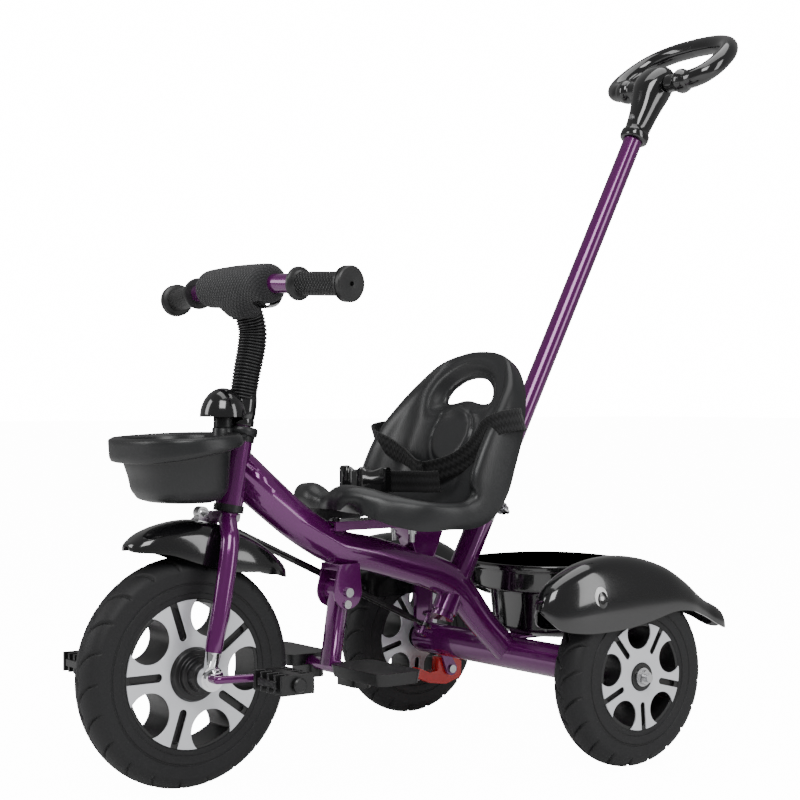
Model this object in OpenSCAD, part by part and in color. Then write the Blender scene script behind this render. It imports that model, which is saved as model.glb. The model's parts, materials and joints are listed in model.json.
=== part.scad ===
// Children's tricycle with a front basket, a rear bucket and a parent's steering push handle.
// +X is the rider's left, -Y is the front, +Z is up, and the ground is z = 0.
// Sizes are in millimetres. Positions below are measured from the front axle along Y.

/* [Wheels] */
// Radius of the front tyre
front_r = 130; // [115:1:150]
// Width of the front tyre
front_w = 47; // [38:1:54]
// Radius of the front rim, where the tyre sits
front_rim_r = 84; // [76:1:95]
// Radius of the rear tyres
rear_r = 108.4; // [95:0.1:122]
// Width of the rear tyres
rear_w = 44; // [36:1:50]
// Radius of the rear rims
rear_rim_r = 63.5; // [56:0.5:75]
// Distance from the front axle to the rear axle
wheelbase = 480; // [450:5:560]
// Distance between the middles of the rear tyres
track = 434; // [400:2:500]
// Diameter of the rear axle rod
axle_d = 12; // [8:1:14]
// Diameter of the threaded ends of the rear axle
axle_thread_d = 10; // [6:1:12]

/* [Pedals] */
// Crank radius
crank_r = 55; // [45:1:66]
// Diameter of the crank rod
crank_d = 9; // [7:1:11]
// Width of a pedal along its spindle
pedal_w = 58; // [45:1:70]
// Length of a pedal across its spindle
pedal_l = 42; // [34:1:56]
// Thickness of a pedal
pedal_t = 22; // [18:1:28]

/* [Steering] */
// Lean of the steering axis
head_lean = 10; // [6:1:16]
// Distance from the steering axis forward to the front axle
rake = 26; // [20:1:34]
// Height of the head tube's lower end above the axle, along the axis
head_low = 188; // [178:1:210]
// Length of the head tube
head_len = 74; // [60:1:95]
// Diameter of the steerer
steerer_d = 22; // [18:1:26]
// Outer diameter of the head tube
head_d = 32; // [30:1:38]
// Radius of the two steering arms
arm_r = 33; // [30:1:36]
// Half of the whole handlebar's width, to the middle of the end flange
bar_half = 190; // [160:1:230]
// Height of the handlebar above the front axle
bar_rise = 436; // [400:1:480]
// Diameter of the handlebar
bar_d = 22; // [19:1:25]
// Length of a grip
grip_len = 80; // [60:1:95]
// Length of the padded cover
pad_len = 144; // [110:2:150]

/* [Frame] */
// Height of the main tube's section behind the head tube
main_h = 48; // [40:1:52]
// Diameter of the main tube under the seat
main_d = 37; // [32:1:42]
// Diameter of the rear cross tube
cross_d = 42; // [36:1:46]
// Outer diameter of the push pole
pole_d = 26; // [22:1:28]
// Wall of the pole's socket
socket_wall = 3; // [2:0.5:5]
// Lean of the push pole
pole_lean = 28; // [22:1:32]
// Distance from the foot of the pole to the rear axle
pole_gap = 119; // [105:1:135]
// Length of the push pole
pole_len = 760; // [600:5:850]

/* [Seat and containers] */
// Width of the seat
seat_w = 242; // [200:2:270]
// Height of the seat surface above the ground
seat_z = 298; // [292:1:320]
// Height of the seat back above the seat surface
back_h = 198; // [160:2:230]
// Half width of the front basket's lip
basket_a = 88; // [75:1:100]
// Half width of the rear bucket's rim
bucket_a = 105; // [85:1:115]
// Height of the rear bucket's rim above the ground
bucket_z = 226; // [210:1:250]

/* [Footrest] */
// Length of the footrest leg
rest_leg = 89; // [70:1:95]
// Half of the footrest's whole width
rest_half = 146; // [120:1:160]
// Gap between the middle and the inner edge of each foot pad
rest_gap = 40; // [37:1:60]

/* [Fits] */
// Radial clearance of a running fit
run = 0.05; // [0.02:0.01:0.09]
// Gap between pieces that pass each other without touching
gap = 0.5; // [0.3:0.1:1]

/* [Hidden] */
$fn = 48;

steer_y = rake / cos(head_lean);           // the steering axis at axle height
pole_z = 150;                              // height of the pole frame's origin
pole_y = wheelbase - pole_gap;             // place of the pole frame's origin
head_top = head_low + head_len;            // upper end of the head tube on the steering axis
cup_h = 8;                                 // height of a headset cup's flange
ring_h = 10;                               // height of the basket's collar ring
ring_low = head_top + 6 + gap;             // lower face of the collar ring
steerer_top = ring_low + ring_h + 8;       // upper end of the steerer
crown_top = head_low - cup_h - gap;        // upper face of the fork crown
arm_back = 5;                              // how far behind its axis each steering arm ends
pole_bore = pole_d / 2 + run;              // radius of the bore that the pole turns in
socket_r = pole_bore + socket_wall;        // outer radius of the pole socket
socket_low = 22;                           // lower end of the socket in the pole frame
socket_top = 152;                          // upper end of the socket in the pole frame
handle_at = pole_len + 56;                 // the handle's hinge in the pole frame
half_track = track / 2;
rear_inner = half_track - rear_w / 2;      // inner side of a rear tyre
cross_half = rear_inner - 12;              // half length of the rear cross tube
fender_in = half_track - rear_w / 2 - 8.5;    // inner side of a rear fender over the axle
bar_y = 74;                                // the middle of the handlebar
bar_z = front_r + bar_rise;
bar_knee = 60;                             // where the handlebar bends back
bar_sweep = 0.1665;                        // sideways run to backward run of the bar's ends
bar_drop = 0.053;                          // sideways run to drop of the bar's ends
hinge_rest = [212, 206 + (front_r - 130)]; // the footrest's pivot, Y and Z
rest_tilt = 8.4;                           // forward lean of the footrest leg
plate_x = 17.5;                            // middle of each footrest bracket plate
brake_x = half_track - 52;                 // the brake levers' middle
brake_y = wheelbase + 25;
brake_z = rear_r - 43.4;
rise = front_r - 130;                      // how far the head stands above its usual height
shift = wheelbase - 480;                   // how far the rear stands behind its usual place

// Middle of the whole tricycle along Y, so that the origin is under the middle
loop_back = 108;                           // how far the handle's loop reaches from its hinge
loop_up = 37;                              // upward tilt of the loop's plane
loop_r = 13;                               // radius of the loop's section
back_end = pole_y + handle_at * sin(pole_lean) + loop_back * cos(loop_up) + loop_r;
mid_y = (back_end - front_r) / 2;

// ---- frames -------------------------------------------------------------------------
module placed() translate([0, -mid_y, 0]) children();
module steer_frame() translate([0, steer_y, front_r]) rotate([-head_lean, 0, 0]) children();
module pole_frame() translate([0, pole_y, pole_z]) rotate([-pole_lean, 0, 0]) children();
module both() {
    children();
    mirror([1, 0, 0]) children();
}
module along_x() rotate([0, 90, 0]) children();
function steer(x, y, z) = [x, steer_y + y * cos(head_lean) + z * sin(head_lean),
    front_r - y * sin(head_lean) + z * cos(head_lean)];
function pole(x, y, z) = [x, pole_y + y * cos(pole_lean) + z * sin(pole_lean),
    pole_z - y * sin(pole_lean) + z * cos(pole_lean)];

// ---- curves and skins ---------------------------------------------------------------
function unit(v) = v / norm(v);
function xyz(v) = [v[0], v[1], v[2]];
function item(p, i) = p[max(0, min(len(p) - 1, i))];
function between(a, b, c, d, t) = 0.5 * (2 * b + (c - a) * t + (2 * a - 5 * b + 4 * c - d) * t * t
    + (3 * b - a - 3 * c + d) * t * t * t);
// A smooth curve through the listed points, with n steps in each stretch
function curve(p, n = 5) = [
    for (i = [0 : len(p) - 2], k = [0 : n - 1])
        between(item(p, i - 1), item(p, i), item(p, i + 1), item(p, i + 2), k / n),
    item(p, len(p) - 1)];
function along(p, i) = unit(xyz(item(p, i + 1)) - xyz(item(p, i - 1)));
// Oval ring across a path; a path point is [x, y, z, radius in plane, radius across]
function hoop(p, i, ref, n) = let (t = along(p, i), a = unit(cross(ref, t)), b = cross(t, a))
    [for (k = [0 : n - 1]) xyz(p[i]) + a * p[i][3] * cos(360 * k / n) + b * p[i][4] * sin(360 * k / n)];
// Closed surface through rings that each hold the same number of points
module skin(rings, loop = false) {
    n = len(rings[0]);
    m = len(rings);
    sides = [for (i = [0 : m - (loop ? 1 : 2)], k = [0 : n - 1])
        let (j = (i + 1) % m, h = (k + 1) % n)
        each [[i * n + k, j * n + k, j * n + h], [i * n + k, j * n + h, i * n + h]]];
    caps = loop ? [] : [[for (k = [0 : n - 1]) k], [for (k = [n - 1 : -1 : 0]) (m - 1) * n + k]];
    polyhedron(points = [for (r = rings) each r], faces = concat(sides, caps), convexity = 8);
}
module tube_skin(path, ref = [1, 0, 0], n = 20) {
    skin([for (i = [0 : len(path) - 1]) hoop(path, i, ref, n)]);
}
// Rounded outline: a is the half size along X, b along Y, p sets how square it is
function outline(yc, z, a, b, p = 2.4, n = 36, tilt = 0) = [for (k = [0 : n - 1])
    let (c = cos(360 * k / n), s = sin(360 * k / n), y = b * sign(s) * pow(abs(s), 2 / p))
    [a * sign(c) * pow(abs(c), 2 / p), yc + y, z + tilt * y]];
// Straight round bar between two points
module bar(a, b, r) {
    d = b - a;
    translate(a) rotate([0, acos(d[2] / norm(d)), atan2(d[1], d[0])]) cylinder(r = r, h = norm(d));
}
// Arched shell section: st is [y, lower edge, crown, half width], xc its middle, t its wall
function arch(st, xc, t, n = 10) = let (y = st[0], lo = st[1], hi = st[2], w = st[3]) concat(
    [for (k = [0 : n]) let (q = -90 + 180 * k / n)
        [xc + w * sign(sin(q)) * pow(abs(sin(q)), 0.8), y, lo + (hi - lo) * pow(max(0, cos(q)), 0.7)]],
    [for (k = [n : -1 : 0]) let (q = -90 + 180 * k / n)
        [xc + (w - t) * sign(sin(q)) * pow(abs(sin(q)), 0.8), y,
            lo + (hi - lo - t) * pow(max(0, cos(q)), 0.7)]]);

// ---- wheels -------------------------------------------------------------------------
// Foam tyre about X: outer radius r, width w, seat radius ri
module tyre(r, w, ri) {
    h = w / 2;
    c = 16;
    band = [for (q = [-90 : 15 : 90]) [r - c + c * cos(q), h * sin(q)]];
    low = [[ri + 7, h], [ri + 6, h - 1.2], [ri, h - 1.2]];
    along_x() rotate_extrude($fn = 96)
        polygon(concat(band, low, [for (p = [2 : -1 : 0]) [low[p][0], -low[p][1]]]));
}
// Five round windows and five slots of a wheel disc; s scales the pattern
module windows(r, s, depth) {
    for (k = [0 : 4]) rotate([0, 0, 72 * k + 36])
        intersection() {
            cylinder(r = r - 4, h = depth, center = true, $fn = 64);
            translate([69 * s, 0, 0]) cylinder(r = 25 * s, h = depth, center = true, $fn = 40);
        }
}
module slots(r, s, depth, width) {
    for (k = [0 : 4]) rotate([0, 0, 72 * k]) {
        translate([40 * s + width / 2, -width / 2, -depth / 2])
            cube([r - 5 - 40 * s - width, width, depth]);
        for (x = [40 * s + width / 2, r - 5 - width / 2])
            translate([x, 0, 0]) cylinder(r = width / 2, h = depth, center = true, $fn = 24);
    }
}
// Black wheel body about X with its windows, slot recesses and a bore
module rim(r, w, s, bore, slot, turn) {
    along_x() rotate([0, 0, turn]) difference() {
        cylinder(r = r, h = w - 3, center = true, $fn = 96);
        windows(r, s, w);
        for (z = [-1, 1]) translate([0, 0, z * (w - 3) / 2]) slots(r, s, 8, slot);
        cylinder(r = bore, h = w, center = true);
    }
}
// Silver face plates on both sides of a wheel body
module covers(r, w, s, bore, slot, turn) {
    t = 2;
    along_x() rotate([0, 0, turn]) for (z = [-1, 1]) translate([0, 0, z * ((w - 3) / 2 + t / 2)]) difference() {
        cylinder(r = r - gap, h = t, center = true, $fn = 96);
        windows(r + 6, s, 2 * t);
        slots(r + 10, s, 2 * t, slot);
        cylinder(r = bore, h = 2 * t, center = true);
    }
}
front_s = front_rim_r / 84;
rear_s = rear_rim_r / 84;
hub_r = 31;
bearing_r = 16.7;
module front_axle() translate([0, 0, front_r]) children();
module rear_wheel(side) translate([side * half_track, wheelbase, rear_r]) children();

module front_tyre() color([0.08, 0.08, 0.09]) placed() front_axle() tyre(front_r, front_w, front_rim_r);
module front_rim() color([0.1, 0.1, 0.1]) placed() front_axle()
    rim(front_rim_r, front_w, front_s, crank_d / 2, 9.5 * front_s, -90);
module front_covers() color([0.9, 0.9, 0.92]) placed() front_axle()
    covers(front_rim_r, front_w, front_s, hub_r - 5, 9.5 * front_s, -90);
module front_hub() color([0.05, 0.05, 0.05]) placed() front_axle() both() along_x()
    translate([0, 0, (front_w - 3) / 2]) difference() {
        union() {
            cylinder(r = hub_r - 5 - gap, h = 2);
            translate([0, 0, 2]) cylinder(r1 = hub_r, r2 = hub_r - 3, h = 6);
            translate([0, 0, 8]) cylinder(r = hub_r - 9, h = 7);
            translate([0, 0, 15]) cylinder(r = hub_r - 14, h = cup_in - (front_w - 3) / 2 - 15 - gap);
        }
        translate([0, 0, -1]) cylinder(r = crank_d / 2, h = 60);
    }

// Crank rod: a straight axle, an arm bent outwards on each side, and a pedal spindle
cup_in = 51;                                // inner face of each axle cup
cup_out = 67;                               // outer face of each axle cup
arm_x = 73;                                 // where the rod bends into its arm
spindle_x = 88;                             // where the arm bends into the pedal spindle
pedal_x = spindle_x + 5;                    // inner face of a pedal
module crank_side(way) {
    r = crank_d / 2;
    c = way * crank_r;
    tube_skin(curve([for (q = [[arm_x - 4.5, 0, 0.4], [arm_x - 2, 0, 0.2], [arm_x + 2, 0.08, 0], [spindle_x - 3, 0.9, 0],
        [spindle_x + 1, 0.99, 0], [pedal_x - 1, 1, 0]]) [q[0], q[1] * c, 0, r - q[2], r - q[2]]], 3), ref = [0, 0, 1], n = 16);
    translate([spindle_x + 2, c, 0]) along_x() cylinder(r = r - 1, h = pedal_x + pedal_w + 1 - spindle_x);
    translate([pedal_x + pedal_w + 1, c, 0]) along_x() cylinder(r = r + 1.5, h = 3);
}
module crank() color([0.36, 0.08, 0.42]) placed() front_axle() {
    along_x() cylinder(r = crank_d / 2, h = 2 * (arm_x - 3.5), center = true);
    crank_side(1);
    mirror([1, 0, 0]) crank_side(-1);
}
// Pedal block with an open tread frame, bored for its spindle
module pedal(way) {
    x0 = pedal_x;
    l = pedal_l / 2;
    t = pedal_t / 2;
    wall = 4;
    translate([0, way * crank_r, 0]) difference() {
        union() {
            difference() {
                translate([x0, -l, -t]) cube([pedal_w, pedal_l, pedal_t]);
                for (s = [-1, 1], k = [0 : 3])
                    translate([x0 + wall + k * (pedal_w - wall) / 4, s * (l / 2 + 3) - l / 2 + 3, -t - 1])
                        cube([(pedal_w - wall) / 4 - wall, l - 6 - wall / 2, pedal_t + 2]);
            }
            translate([x0, 0, 0]) along_x() cylinder(r = crank_d / 2 + 3.5, h = pedal_w);
            for (s = [-1, 1]) translate([x0 + pedal_w / 2, s * l, 0]) rotate([0, 0, 0])
                translate([-18, -1.5, -4]) cube([36, 3, 8]);
        }
        translate([x0 - 1, 0, 0]) along_x() cylinder(r = crank_d / 2 - 1 + run, h = pedal_w + 2);
    }
}
module pedal_left() color([0.1, 0.1, 0.1]) placed() front_axle() pedal(1);
module pedal_right() color([0.1, 0.1, 0.1]) placed() front_axle() mirror([1, 0, 0]) pedal(-1);

module rear_tyre(side) color([0.08, 0.08, 0.09]) placed() rear_wheel(side) tyre(rear_r, rear_w, rear_rim_r);
module rear_rim(side) color([0.1, 0.1, 0.1]) placed() rear_wheel(side)
    rim(rear_rim_r, rear_w, rear_s, bearing_r - 3, 7.4 * rear_s / 0.756, side * 4);
module rear_covers(side) color([0.9, 0.9, 0.92]) placed() rear_wheel(side)
    covers(rear_rim_r, rear_w, rear_s, bearing_r, 7.4 * rear_s / 0.756, side * 4);
// Flanged bearing bush through the wheel, running on the axle
module rear_bearing(side) color([0.6, 0.6, 0.6]) placed() rear_wheel(side) along_x() difference() {
    union() {
        cylinder(r = bearing_r - 3, h = rear_w - 3, center = true);
        for (s = [-1, 1]) translate([0, 0, s * ((rear_w - 3) / 2 + 1.75)])
            cylinder(r = bearing_r - gap, h = 3.5, center = true);
    }
    cylinder(r = axle_d / 2 + run, h = rear_w + 10, center = true);
}
module rear_tyre_left() rear_tyre(1);
module rear_tyre_right() rear_tyre(-1);
module rear_rim_left() rear_rim(1);
module rear_rim_right() rear_rim(-1);
module rear_covers_left() rear_covers(1);
module rear_covers_right() rear_covers(-1);
module rear_bearing_left() rear_bearing(1);
module rear_bearing_right() rear_bearing(-1);

// ---- frame --------------------------------------------------------------------------
purple = [0.36, 0.08, 0.42];
wheel_out = half_track + (rear_w - 3) / 2 + 3.5;   // outer face of a rear bearing
washer_t = 1.5;
nut_t = 5;
module rear_axle() color([0.75, 0.75, 0.75]) placed() translate([0, wheelbase, rear_r]) along_x() {
    cylinder(r = axle_d / 2, h = 2 * (wheel_out + gap / 2), center = true);
    cylinder(r = axle_thread_d / 2, h = 2 * (wheel_out + washer_t + nut_t + 6), center = true);
}
module axle_nuts() color([0.8, 0.8, 0.78]) placed() both() translate([0, wheelbase, rear_r]) along_x() {
    difference() {
        union() {
            translate([0, 0, wheel_out + gap / 2]) cylinder(r = 11, h = washer_t);
            translate([0, 0, wheel_out + gap / 2 + washer_t]) cylinder(r = 9, h = nut_t, $fn = 6);
        }
        cylinder(r = axle_thread_d / 2, h = wheel_out + 30);
    }
}
module head_cut(r) steer_frame() translate([0, 0, head_low - 30]) cylinder(r = r, h = head_len + 60);
module socket_cut(r) pole_frame() translate([0, 0, socket_low]) cylinder(r = r, h = socket_top - socket_low);
module head_tube() color(purple) placed() steer_frame() difference() {
    translate([0, 0, head_low]) cylinder(r = head_d / 2, h = head_len);
    translate([0, 0, head_low - 1]) cylinder(r = head_d / 2 - 2.5, h = head_len + 2);
}
module headset_cup() difference() {
    union() {
        cylinder(r = head_d / 2 + 1.5, h = cup_h);
        translate([0, 0, cup_h]) cylinder(r = head_d / 2 - 2.5, h = 9);
    }
    translate([0, 0, -1]) cylinder(r = steerer_d / 2 + run, h = 30);
}
module headset_cups() color([0.12, 0.12, 0.12]) placed() steer_frame() {
    translate([0, 0, head_low - cup_h]) headset_cup();
    translate([0, 0, head_top + 6]) mirror([0, 0, 1]) difference() {
        union() {
            cylinder(r = head_d / 2 + 1.5, h = 6);
            translate([0, 0, 6]) cylinder(r = head_d / 2 - 2.5, h = 9);
        }
        translate([0, 0, -1]) cylinder(r = steerer_d / 2 + run, h = 30);
    }
}
// The main tube runs from the head tube down, back under the seat, and down to the cross tube
md = main_d / 2;
main_at_rest = [0, 208, 259 + rise, 22, md];          // over the footrest
main_at_seat = [0, 303 + shift, 235, 21.5, md + 1];  // under the seat
main_path = [
    concat(steer(0, -4, 235), [main_h / 2 + 1, head_d / 2 - 1]),
    [0, 108, 325 + rise, main_h / 2, head_d / 2],
    [0, 156, 288 + rise, main_h / 2 - 1.5, md - 1],
    main_at_rest,
    [0, 257 + shift / 3, 248 + rise / 2, 21.5, md + 1],
    main_at_seat,
    [0, 350 + shift, 221, 22, md + 1],
    [0, 390 + shift, 200, 21, md + 1],
    [0, 430 + shift, 155, md, md],
    [0, wheelbase - 2, rear_r, md - 1, md]];
module main_tube() color(purple) placed() difference() {
    tube_skin(curve(main_path), n = 24);
    head_cut(head_d / 2);
    steer_frame() translate([-30, -50, head_low]) cube([60, 50, head_len]);
    socket_cut(socket_r);
    translate([0, wheelbase, rear_r]) along_x() cylinder(r = cross_d / 2, h = 200, center = true);
}
plug_l = 14;                                   // length of each axle bush in the cross tube
module rear_cross_tube() color(purple) placed() {
    translate([0, wheelbase, rear_r]) {
        along_x() difference() {
            cylinder(r = cross_d / 2, h = 2 * cross_half, center = true);
            cylinder(r = cross_d / 2 - 2, h = 2 * cross_half - 2 * plug_l, center = true);
            cylinder(r = axle_d / 2, h = 500, center = true);
        }
        // bracket under the bucket
        difference() {
            translate([-20, 0, cross_d / 2 - 2]) cube([40, 105, 3.5]);
            along_x() cylinder(r = cross_d / 2 - 1, h = 60, center = true);
        }
        both() difference() {
            union() {
                // stay of each rear fender
                translate([cross_half - 2, -14, cross_d / 2 - 8]) cube([fender_in - cross_half + 3, 28, fender_low + 14 - rear_r - cross_d / 2 + 8]);
                // lug of each brake lever
                hull() {
                    translate([brake_x - 13, 6, -cross_d / 2 + 4]) cube([4, 12, 1]);
                    translate([brake_x - 13, brake_y - wheelbase, brake_z - rear_r]) along_x() cylinder(r = 9, h = 4);
                }
            }
            translate([brake_x - 14, brake_y - wheelbase, brake_z - rear_r]) along_x() cylinder(r = 3, h = 6);
            along_x() cylinder(r = cross_d / 2 - 1, h = 500);
        }
    }
}
module pole_socket() color(purple) placed() pole_frame() difference() {
    translate([0, 0, socket_low]) cylinder(r = socket_r, h = socket_top - socket_low);
    translate([0, 0, socket_low - 1]) cylinder(r = pole_bore, h = socket_top - socket_low + 2);
}
rail_top = seat_z - 7;
rail_front = 192;
rail_back = 372 + shift;
module seat_rail() color([0.3, 0.07, 0.35]) placed() difference() {
    union() {
        translate([-22, rail_front, rail_top - 11]) cube([44, rail_back - rail_front, 11]);
        // saddle lug that stands on the main tube
        hull() {
            translate([-15, rail_back - 68, rail_top - 14]) cube([30, 56, 4]);
            translate([0, rail_back - 38, 250]) along_x() cylinder(r = 16, h = 24, center = true, $fn = 32);
        }
        // front foot welded to the main tube
        hull() {
            translate([-18, rail_front, rail_top - 8]) cube([36, 26, 4]);
            translate([-10, rail_front - 8, rail_top - 16 + rise]) cube([20, 26, 2]);
        }
    }
    translate([-18, rail_front - 30, rail_top - 8]) cube([36, rail_back - rail_front - 50, 6]);
    for (p = seat_bolt_at) translate([p[0], p[1], rail_top - 60]) cylinder(r = 3, h = 70, $fn = 24);
    tube_skin(curve([for (p = main_path) p - [0, 0, 0, 0.2, 0.2]]), n = 24);
    socket_cut(socket_r + gap);
}
seat_bolt_at = [[0, rail_front + 13], [18.5, rail_back - 64], [-18.5, rail_back - 64]];
// Domed bolt in front, and two bolts with wing nuts under the rail
module seat_bolts() color([0.8, 0.8, 0.8]) placed() {
    for (p = seat_bolt_at) translate([p[0], p[1], 0]) {
        translate([0, 0, rail_top - 9]) cylinder(r = 3, h = seat_z - rail_top + 4, $fn = 24);
        if (p[0] != 0) {
            translate([0, 0, rail_top - 30]) cylinder(r = 3, h = 22, $fn = 24);
            translate([0, 0, rail_top - 20]) cylinder(r = 5, h = 5, $fn = 24);
        }
    }
    translate([0, seat_bolt_at[0][1], rail_top]) cylinder(r1 = 7, r2 = 5, h = 3, $fn = 24);
}
module footrest_bracket() color(purple) placed() difference() {
    union() {
        both() hull() {
            translate([plate_x - 1.5, hinge_rest[0], hinge_rest[1]]) along_x() cylinder(r = 20, h = 3);
            translate([plate_x - 1.5, hinge_rest[0] - 13, hinge_rest[1] + 29]) cube([3, 30, 2]);
        }
        // web against the main tube
        translate([-plate_x - 1.5, hinge_rest[0] - 13, hinge_rest[1] + 26]) cube([2 * plate_x + 3, 30, 8]);
    }
    for (p = rest_bolts) translate([0, p[0], p[1]]) along_x() cylinder(r = 3, h = 60, center = true, $fn = 24);
}
rest_bolts = [hinge_rest, [hinge_rest[0] - 2, hinge_rest[1] - 14]];
module footrest_bolts() color([0.8, 0.8, 0.8]) placed() {
    translate([0, rest_bolts[0][0], rest_bolts[0][1]]) along_x() {
        cylinder(r = 3, h = 2 * plate_x + 8, center = true, $fn = 24);
        for (s = [-1, 1]) translate([0, 0, s * (plate_x + 3.5)]) cylinder(r = 5.5, h = 4, center = true, $fn = 24);
    }
    both() translate([plate_x - 1.5, rest_bolts[1][0], rest_bolts[1][1]]) along_x() {
        cylinder(r = 3, h = 4, $fn = 24);
        translate([0, 0, 3]) cylinder(r = 5, h = 3, $fn = 24);
    }
}
// ---- seat ---------------------------------------------------------------------------
// Stations along the middle of the seat: [y, z, half width, rise of the rim, drop of the skirt, share of nose]
sw = seat_w / 2;
seat_y = shift;
seat_line = [
    [184, seat_z + 8, 0.34 * sw, 1, 2, 1], [185, seat_z + 19, 0.47 * sw, 8, 8, 1], [194, seat_z + 24, 0.57 * sw, 13, 18, 1],
    [210, seat_z + 21, 0.69 * sw, 14, 22, 0.85], [230, seat_z + 12, 0.81 * sw, 15, 22, 0.45],
    [256, seat_z + 4, 0.94 * sw, 15, 20, 0.1], [290, seat_z, sw, 15, 15, 0],
    [322, seat_z, sw, 18, 15, 0], [345, seat_z + 9, sw, 28, 15, 0], [361, seat_z + 32, sw, 38, 17, 0],
    [372, seat_z + 62, 0.99 * sw, 36, 18, 0], [386, seat_z + 95, 0.96 * sw, 30, 18, 0],
    [398, seat_z + 0.63 * back_h, 0.90 * sw, 20, 17, 0], [410, seat_z + 0.77 * back_h, 0.80 * sw, 11, 16, 0],
    [421, seat_z + 0.90 * back_h, 0.62 * sw, 5, 14, 0], [427, seat_z + 0.97 * back_h, 0.43 * sw, 0, 9, 0],
    [430, seat_z + back_h, 0.26 * sw, -3, 3, 0]];
seat_path = curve([for (s = seat_line) [0, s[0] + seat_y, s[1], s[2], s[3], s[4], s[5]]], 3);
// Half section: share of the half width, share of the rise, share of the drop, offset, and the first two at the nose
seat_half = [[0, 0, 0, 0, 0, 0], [0.35, 0.01, 0, 0, 0.18, 0.35], [0.62, 0.12, 0, 0, 0.36, 0.85], [0.78, 0.5, 0, 0, 0.5, 1],
    [0.86, 0.88, 0, 0, 0.66, 0.95], [0.92, 1, 0, 1, 0.82, 0.75], [0.975, 0.9, 0, 0, 0.94, 0.4], [1, 0.55, 0, -1, 1, 0],
    [1, 0, 0.4, 0, 1, -0.2], [0.985, 0, 1, 0, 0.97, 0], [0.945, 0, 1, 0, 0.92, 0], [0.94, 0.2, 0.3, -2, 0.9, 0],
    [0.9, 0.75, 0, -5, 0.8, 0.4], [0.84, 0.55, 0, -6, 0.66, 0.6], [0.74, 0.2, 0, -6, 0.5, 0.6],
    [0.5, 0, 0, -6, 0.25, 0.2], [0, 0, 0, -6, 0, 0]];
function mix(a, b, q) = a * (1 - q) + b * q;
function seat_ring(i) = let (p = seat_path[i], t = along(seat_path, i), n = cross([1, 0, 0], t),
    half = [for (h = seat_half) [mix(h[0], h[4], p[6]) * p[3], mix(h[1], h[5], p[6]) * p[4] - h[2] * p[5] + h[3]]],
    k = len(half), top = 8)
    [for (q = concat([for (j = [top : -1 : 1]) [-half[j][0], half[j][1]]], [for (j = [0 : k - 1]) half[j]],
        [for (j = [k - 2 : -1 : top + 1]) [-half[j][0], half[j][1]]]))
        xyz(p) + [q[0], 0, 0] + n * q[1]];
module seat() color([0.16, 0.16, 0.16]) placed() difference() {
    skin([for (i = [0 : len(seat_path) - 1]) seat_ring(i)]);
    // hand hole in the back
    hull() for (x = [-34, 34])
        translate([x, 407 + seat_y, seat_z + 0.75 * back_h]) rotate([66, 0, 0]) cylinder(r = 14, h = 90, center = true, $fn = 32);
}
// Webbing straps: [x, y, z, half thickness, half width]
function strap(p) = [for (q = p) [q[0], q[1] + seat_y, q[2] + seat_z, 1.2, 14]];
module shoulder_straps() color([0.07, 0.07, 0.07]) placed() for (s = [0, 1]) mirror([s, 0, 0])
    tube_skin(curve(strap([[70, 404, 112 - 16 * s], [104, 398, 110 - 16 * s], [124, 378, 108 - 16 * s], [114, 362, 100 - 14 * s],
        [96, 362, 90 - 12 * s], [62, 367, 74 - 6 * s], [26, 362 - 9 * s, 56 - 2 * s], [-8, 352 - 9 * s, 46 - 3 * s],
        [-30, 342 - 7 * s, 38 - 2 * s]]), 3), ref = [0, -0.4, 1], n = 8);
module waist_strap() color([0.07, 0.07, 0.07]) placed()
    tube_skin(curve(strap([[-80, 338, 34], [-62, 322, 34], [-40, 304, 35], [-8, 312, 35], [8, 322, 35], [24, 334, 35]]), 3),
        ref = [0, -0.2, 1], n = 8);
buckle = [-34, 291 + seat_y, seat_z + 38];
module buckle_at() translate(buckle) rotate([0, 0, 16]) children();
module buckle_socket() color([0.05, 0.05, 0.05]) placed() buckle_at() difference() {
    translate([-20, -7, -16]) cube([40, 11, 32]);
    translate([-21, -4.5, -12]) cube([32, 6, 24]);
}
module buckle_tongue() color([0.06, 0.06, 0.06]) placed() buckle_at() {
    translate([-40, -5.5, -15]) cube([19, 8, 30]);
    for (z = [-1, 1]) translate([-22, -3.5, z * 8 - 2.5]) cube([28, 4, 5]);
}
// ---- rear bucket, fenders, brakes ---------------------------------------------------
bucket_y = wheelbase + 65;
bucket_low = rear_r + cross_d / 2 + 2;
bucket_b = bucket_a - 5;
step_z = bucket_z - 38;
module rear_bucket() color([0.06, 0.06, 0.06]) placed() skin([
    outline(bucket_y + 16, bucket_low, bucket_a - 30, bucket_b - 34), outline(bucket_y + 16, bucket_low + 7, bucket_a - 22, bucket_b - 26),
    outline(bucket_y + 15, step_z, bucket_a - 18, bucket_b - 22), outline(bucket_y, step_z + 4, bucket_a - 8, bucket_b - 7),
    outline(bucket_y, bucket_z - 8, bucket_a - 5, bucket_b - 4), outline(bucket_y, bucket_z - 8, bucket_a - 1, bucket_b),
    outline(bucket_y, bucket_z, bucket_a, bucket_b), outline(bucket_y, bucket_z, bucket_a - 7, bucket_b - 6),
    outline(bucket_y, step_z + 6, bucket_a - 11, bucket_b - 10), outline(bucket_y + 15, step_z + 2, bucket_a - 21, bucket_b - 25),
    outline(bucket_y + 16, bucket_low + 9, bucket_a - 26, bucket_b - 30), outline(bucket_y + 16, bucket_low + 4, bucket_a - 34, bucket_b - 38)]);
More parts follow.
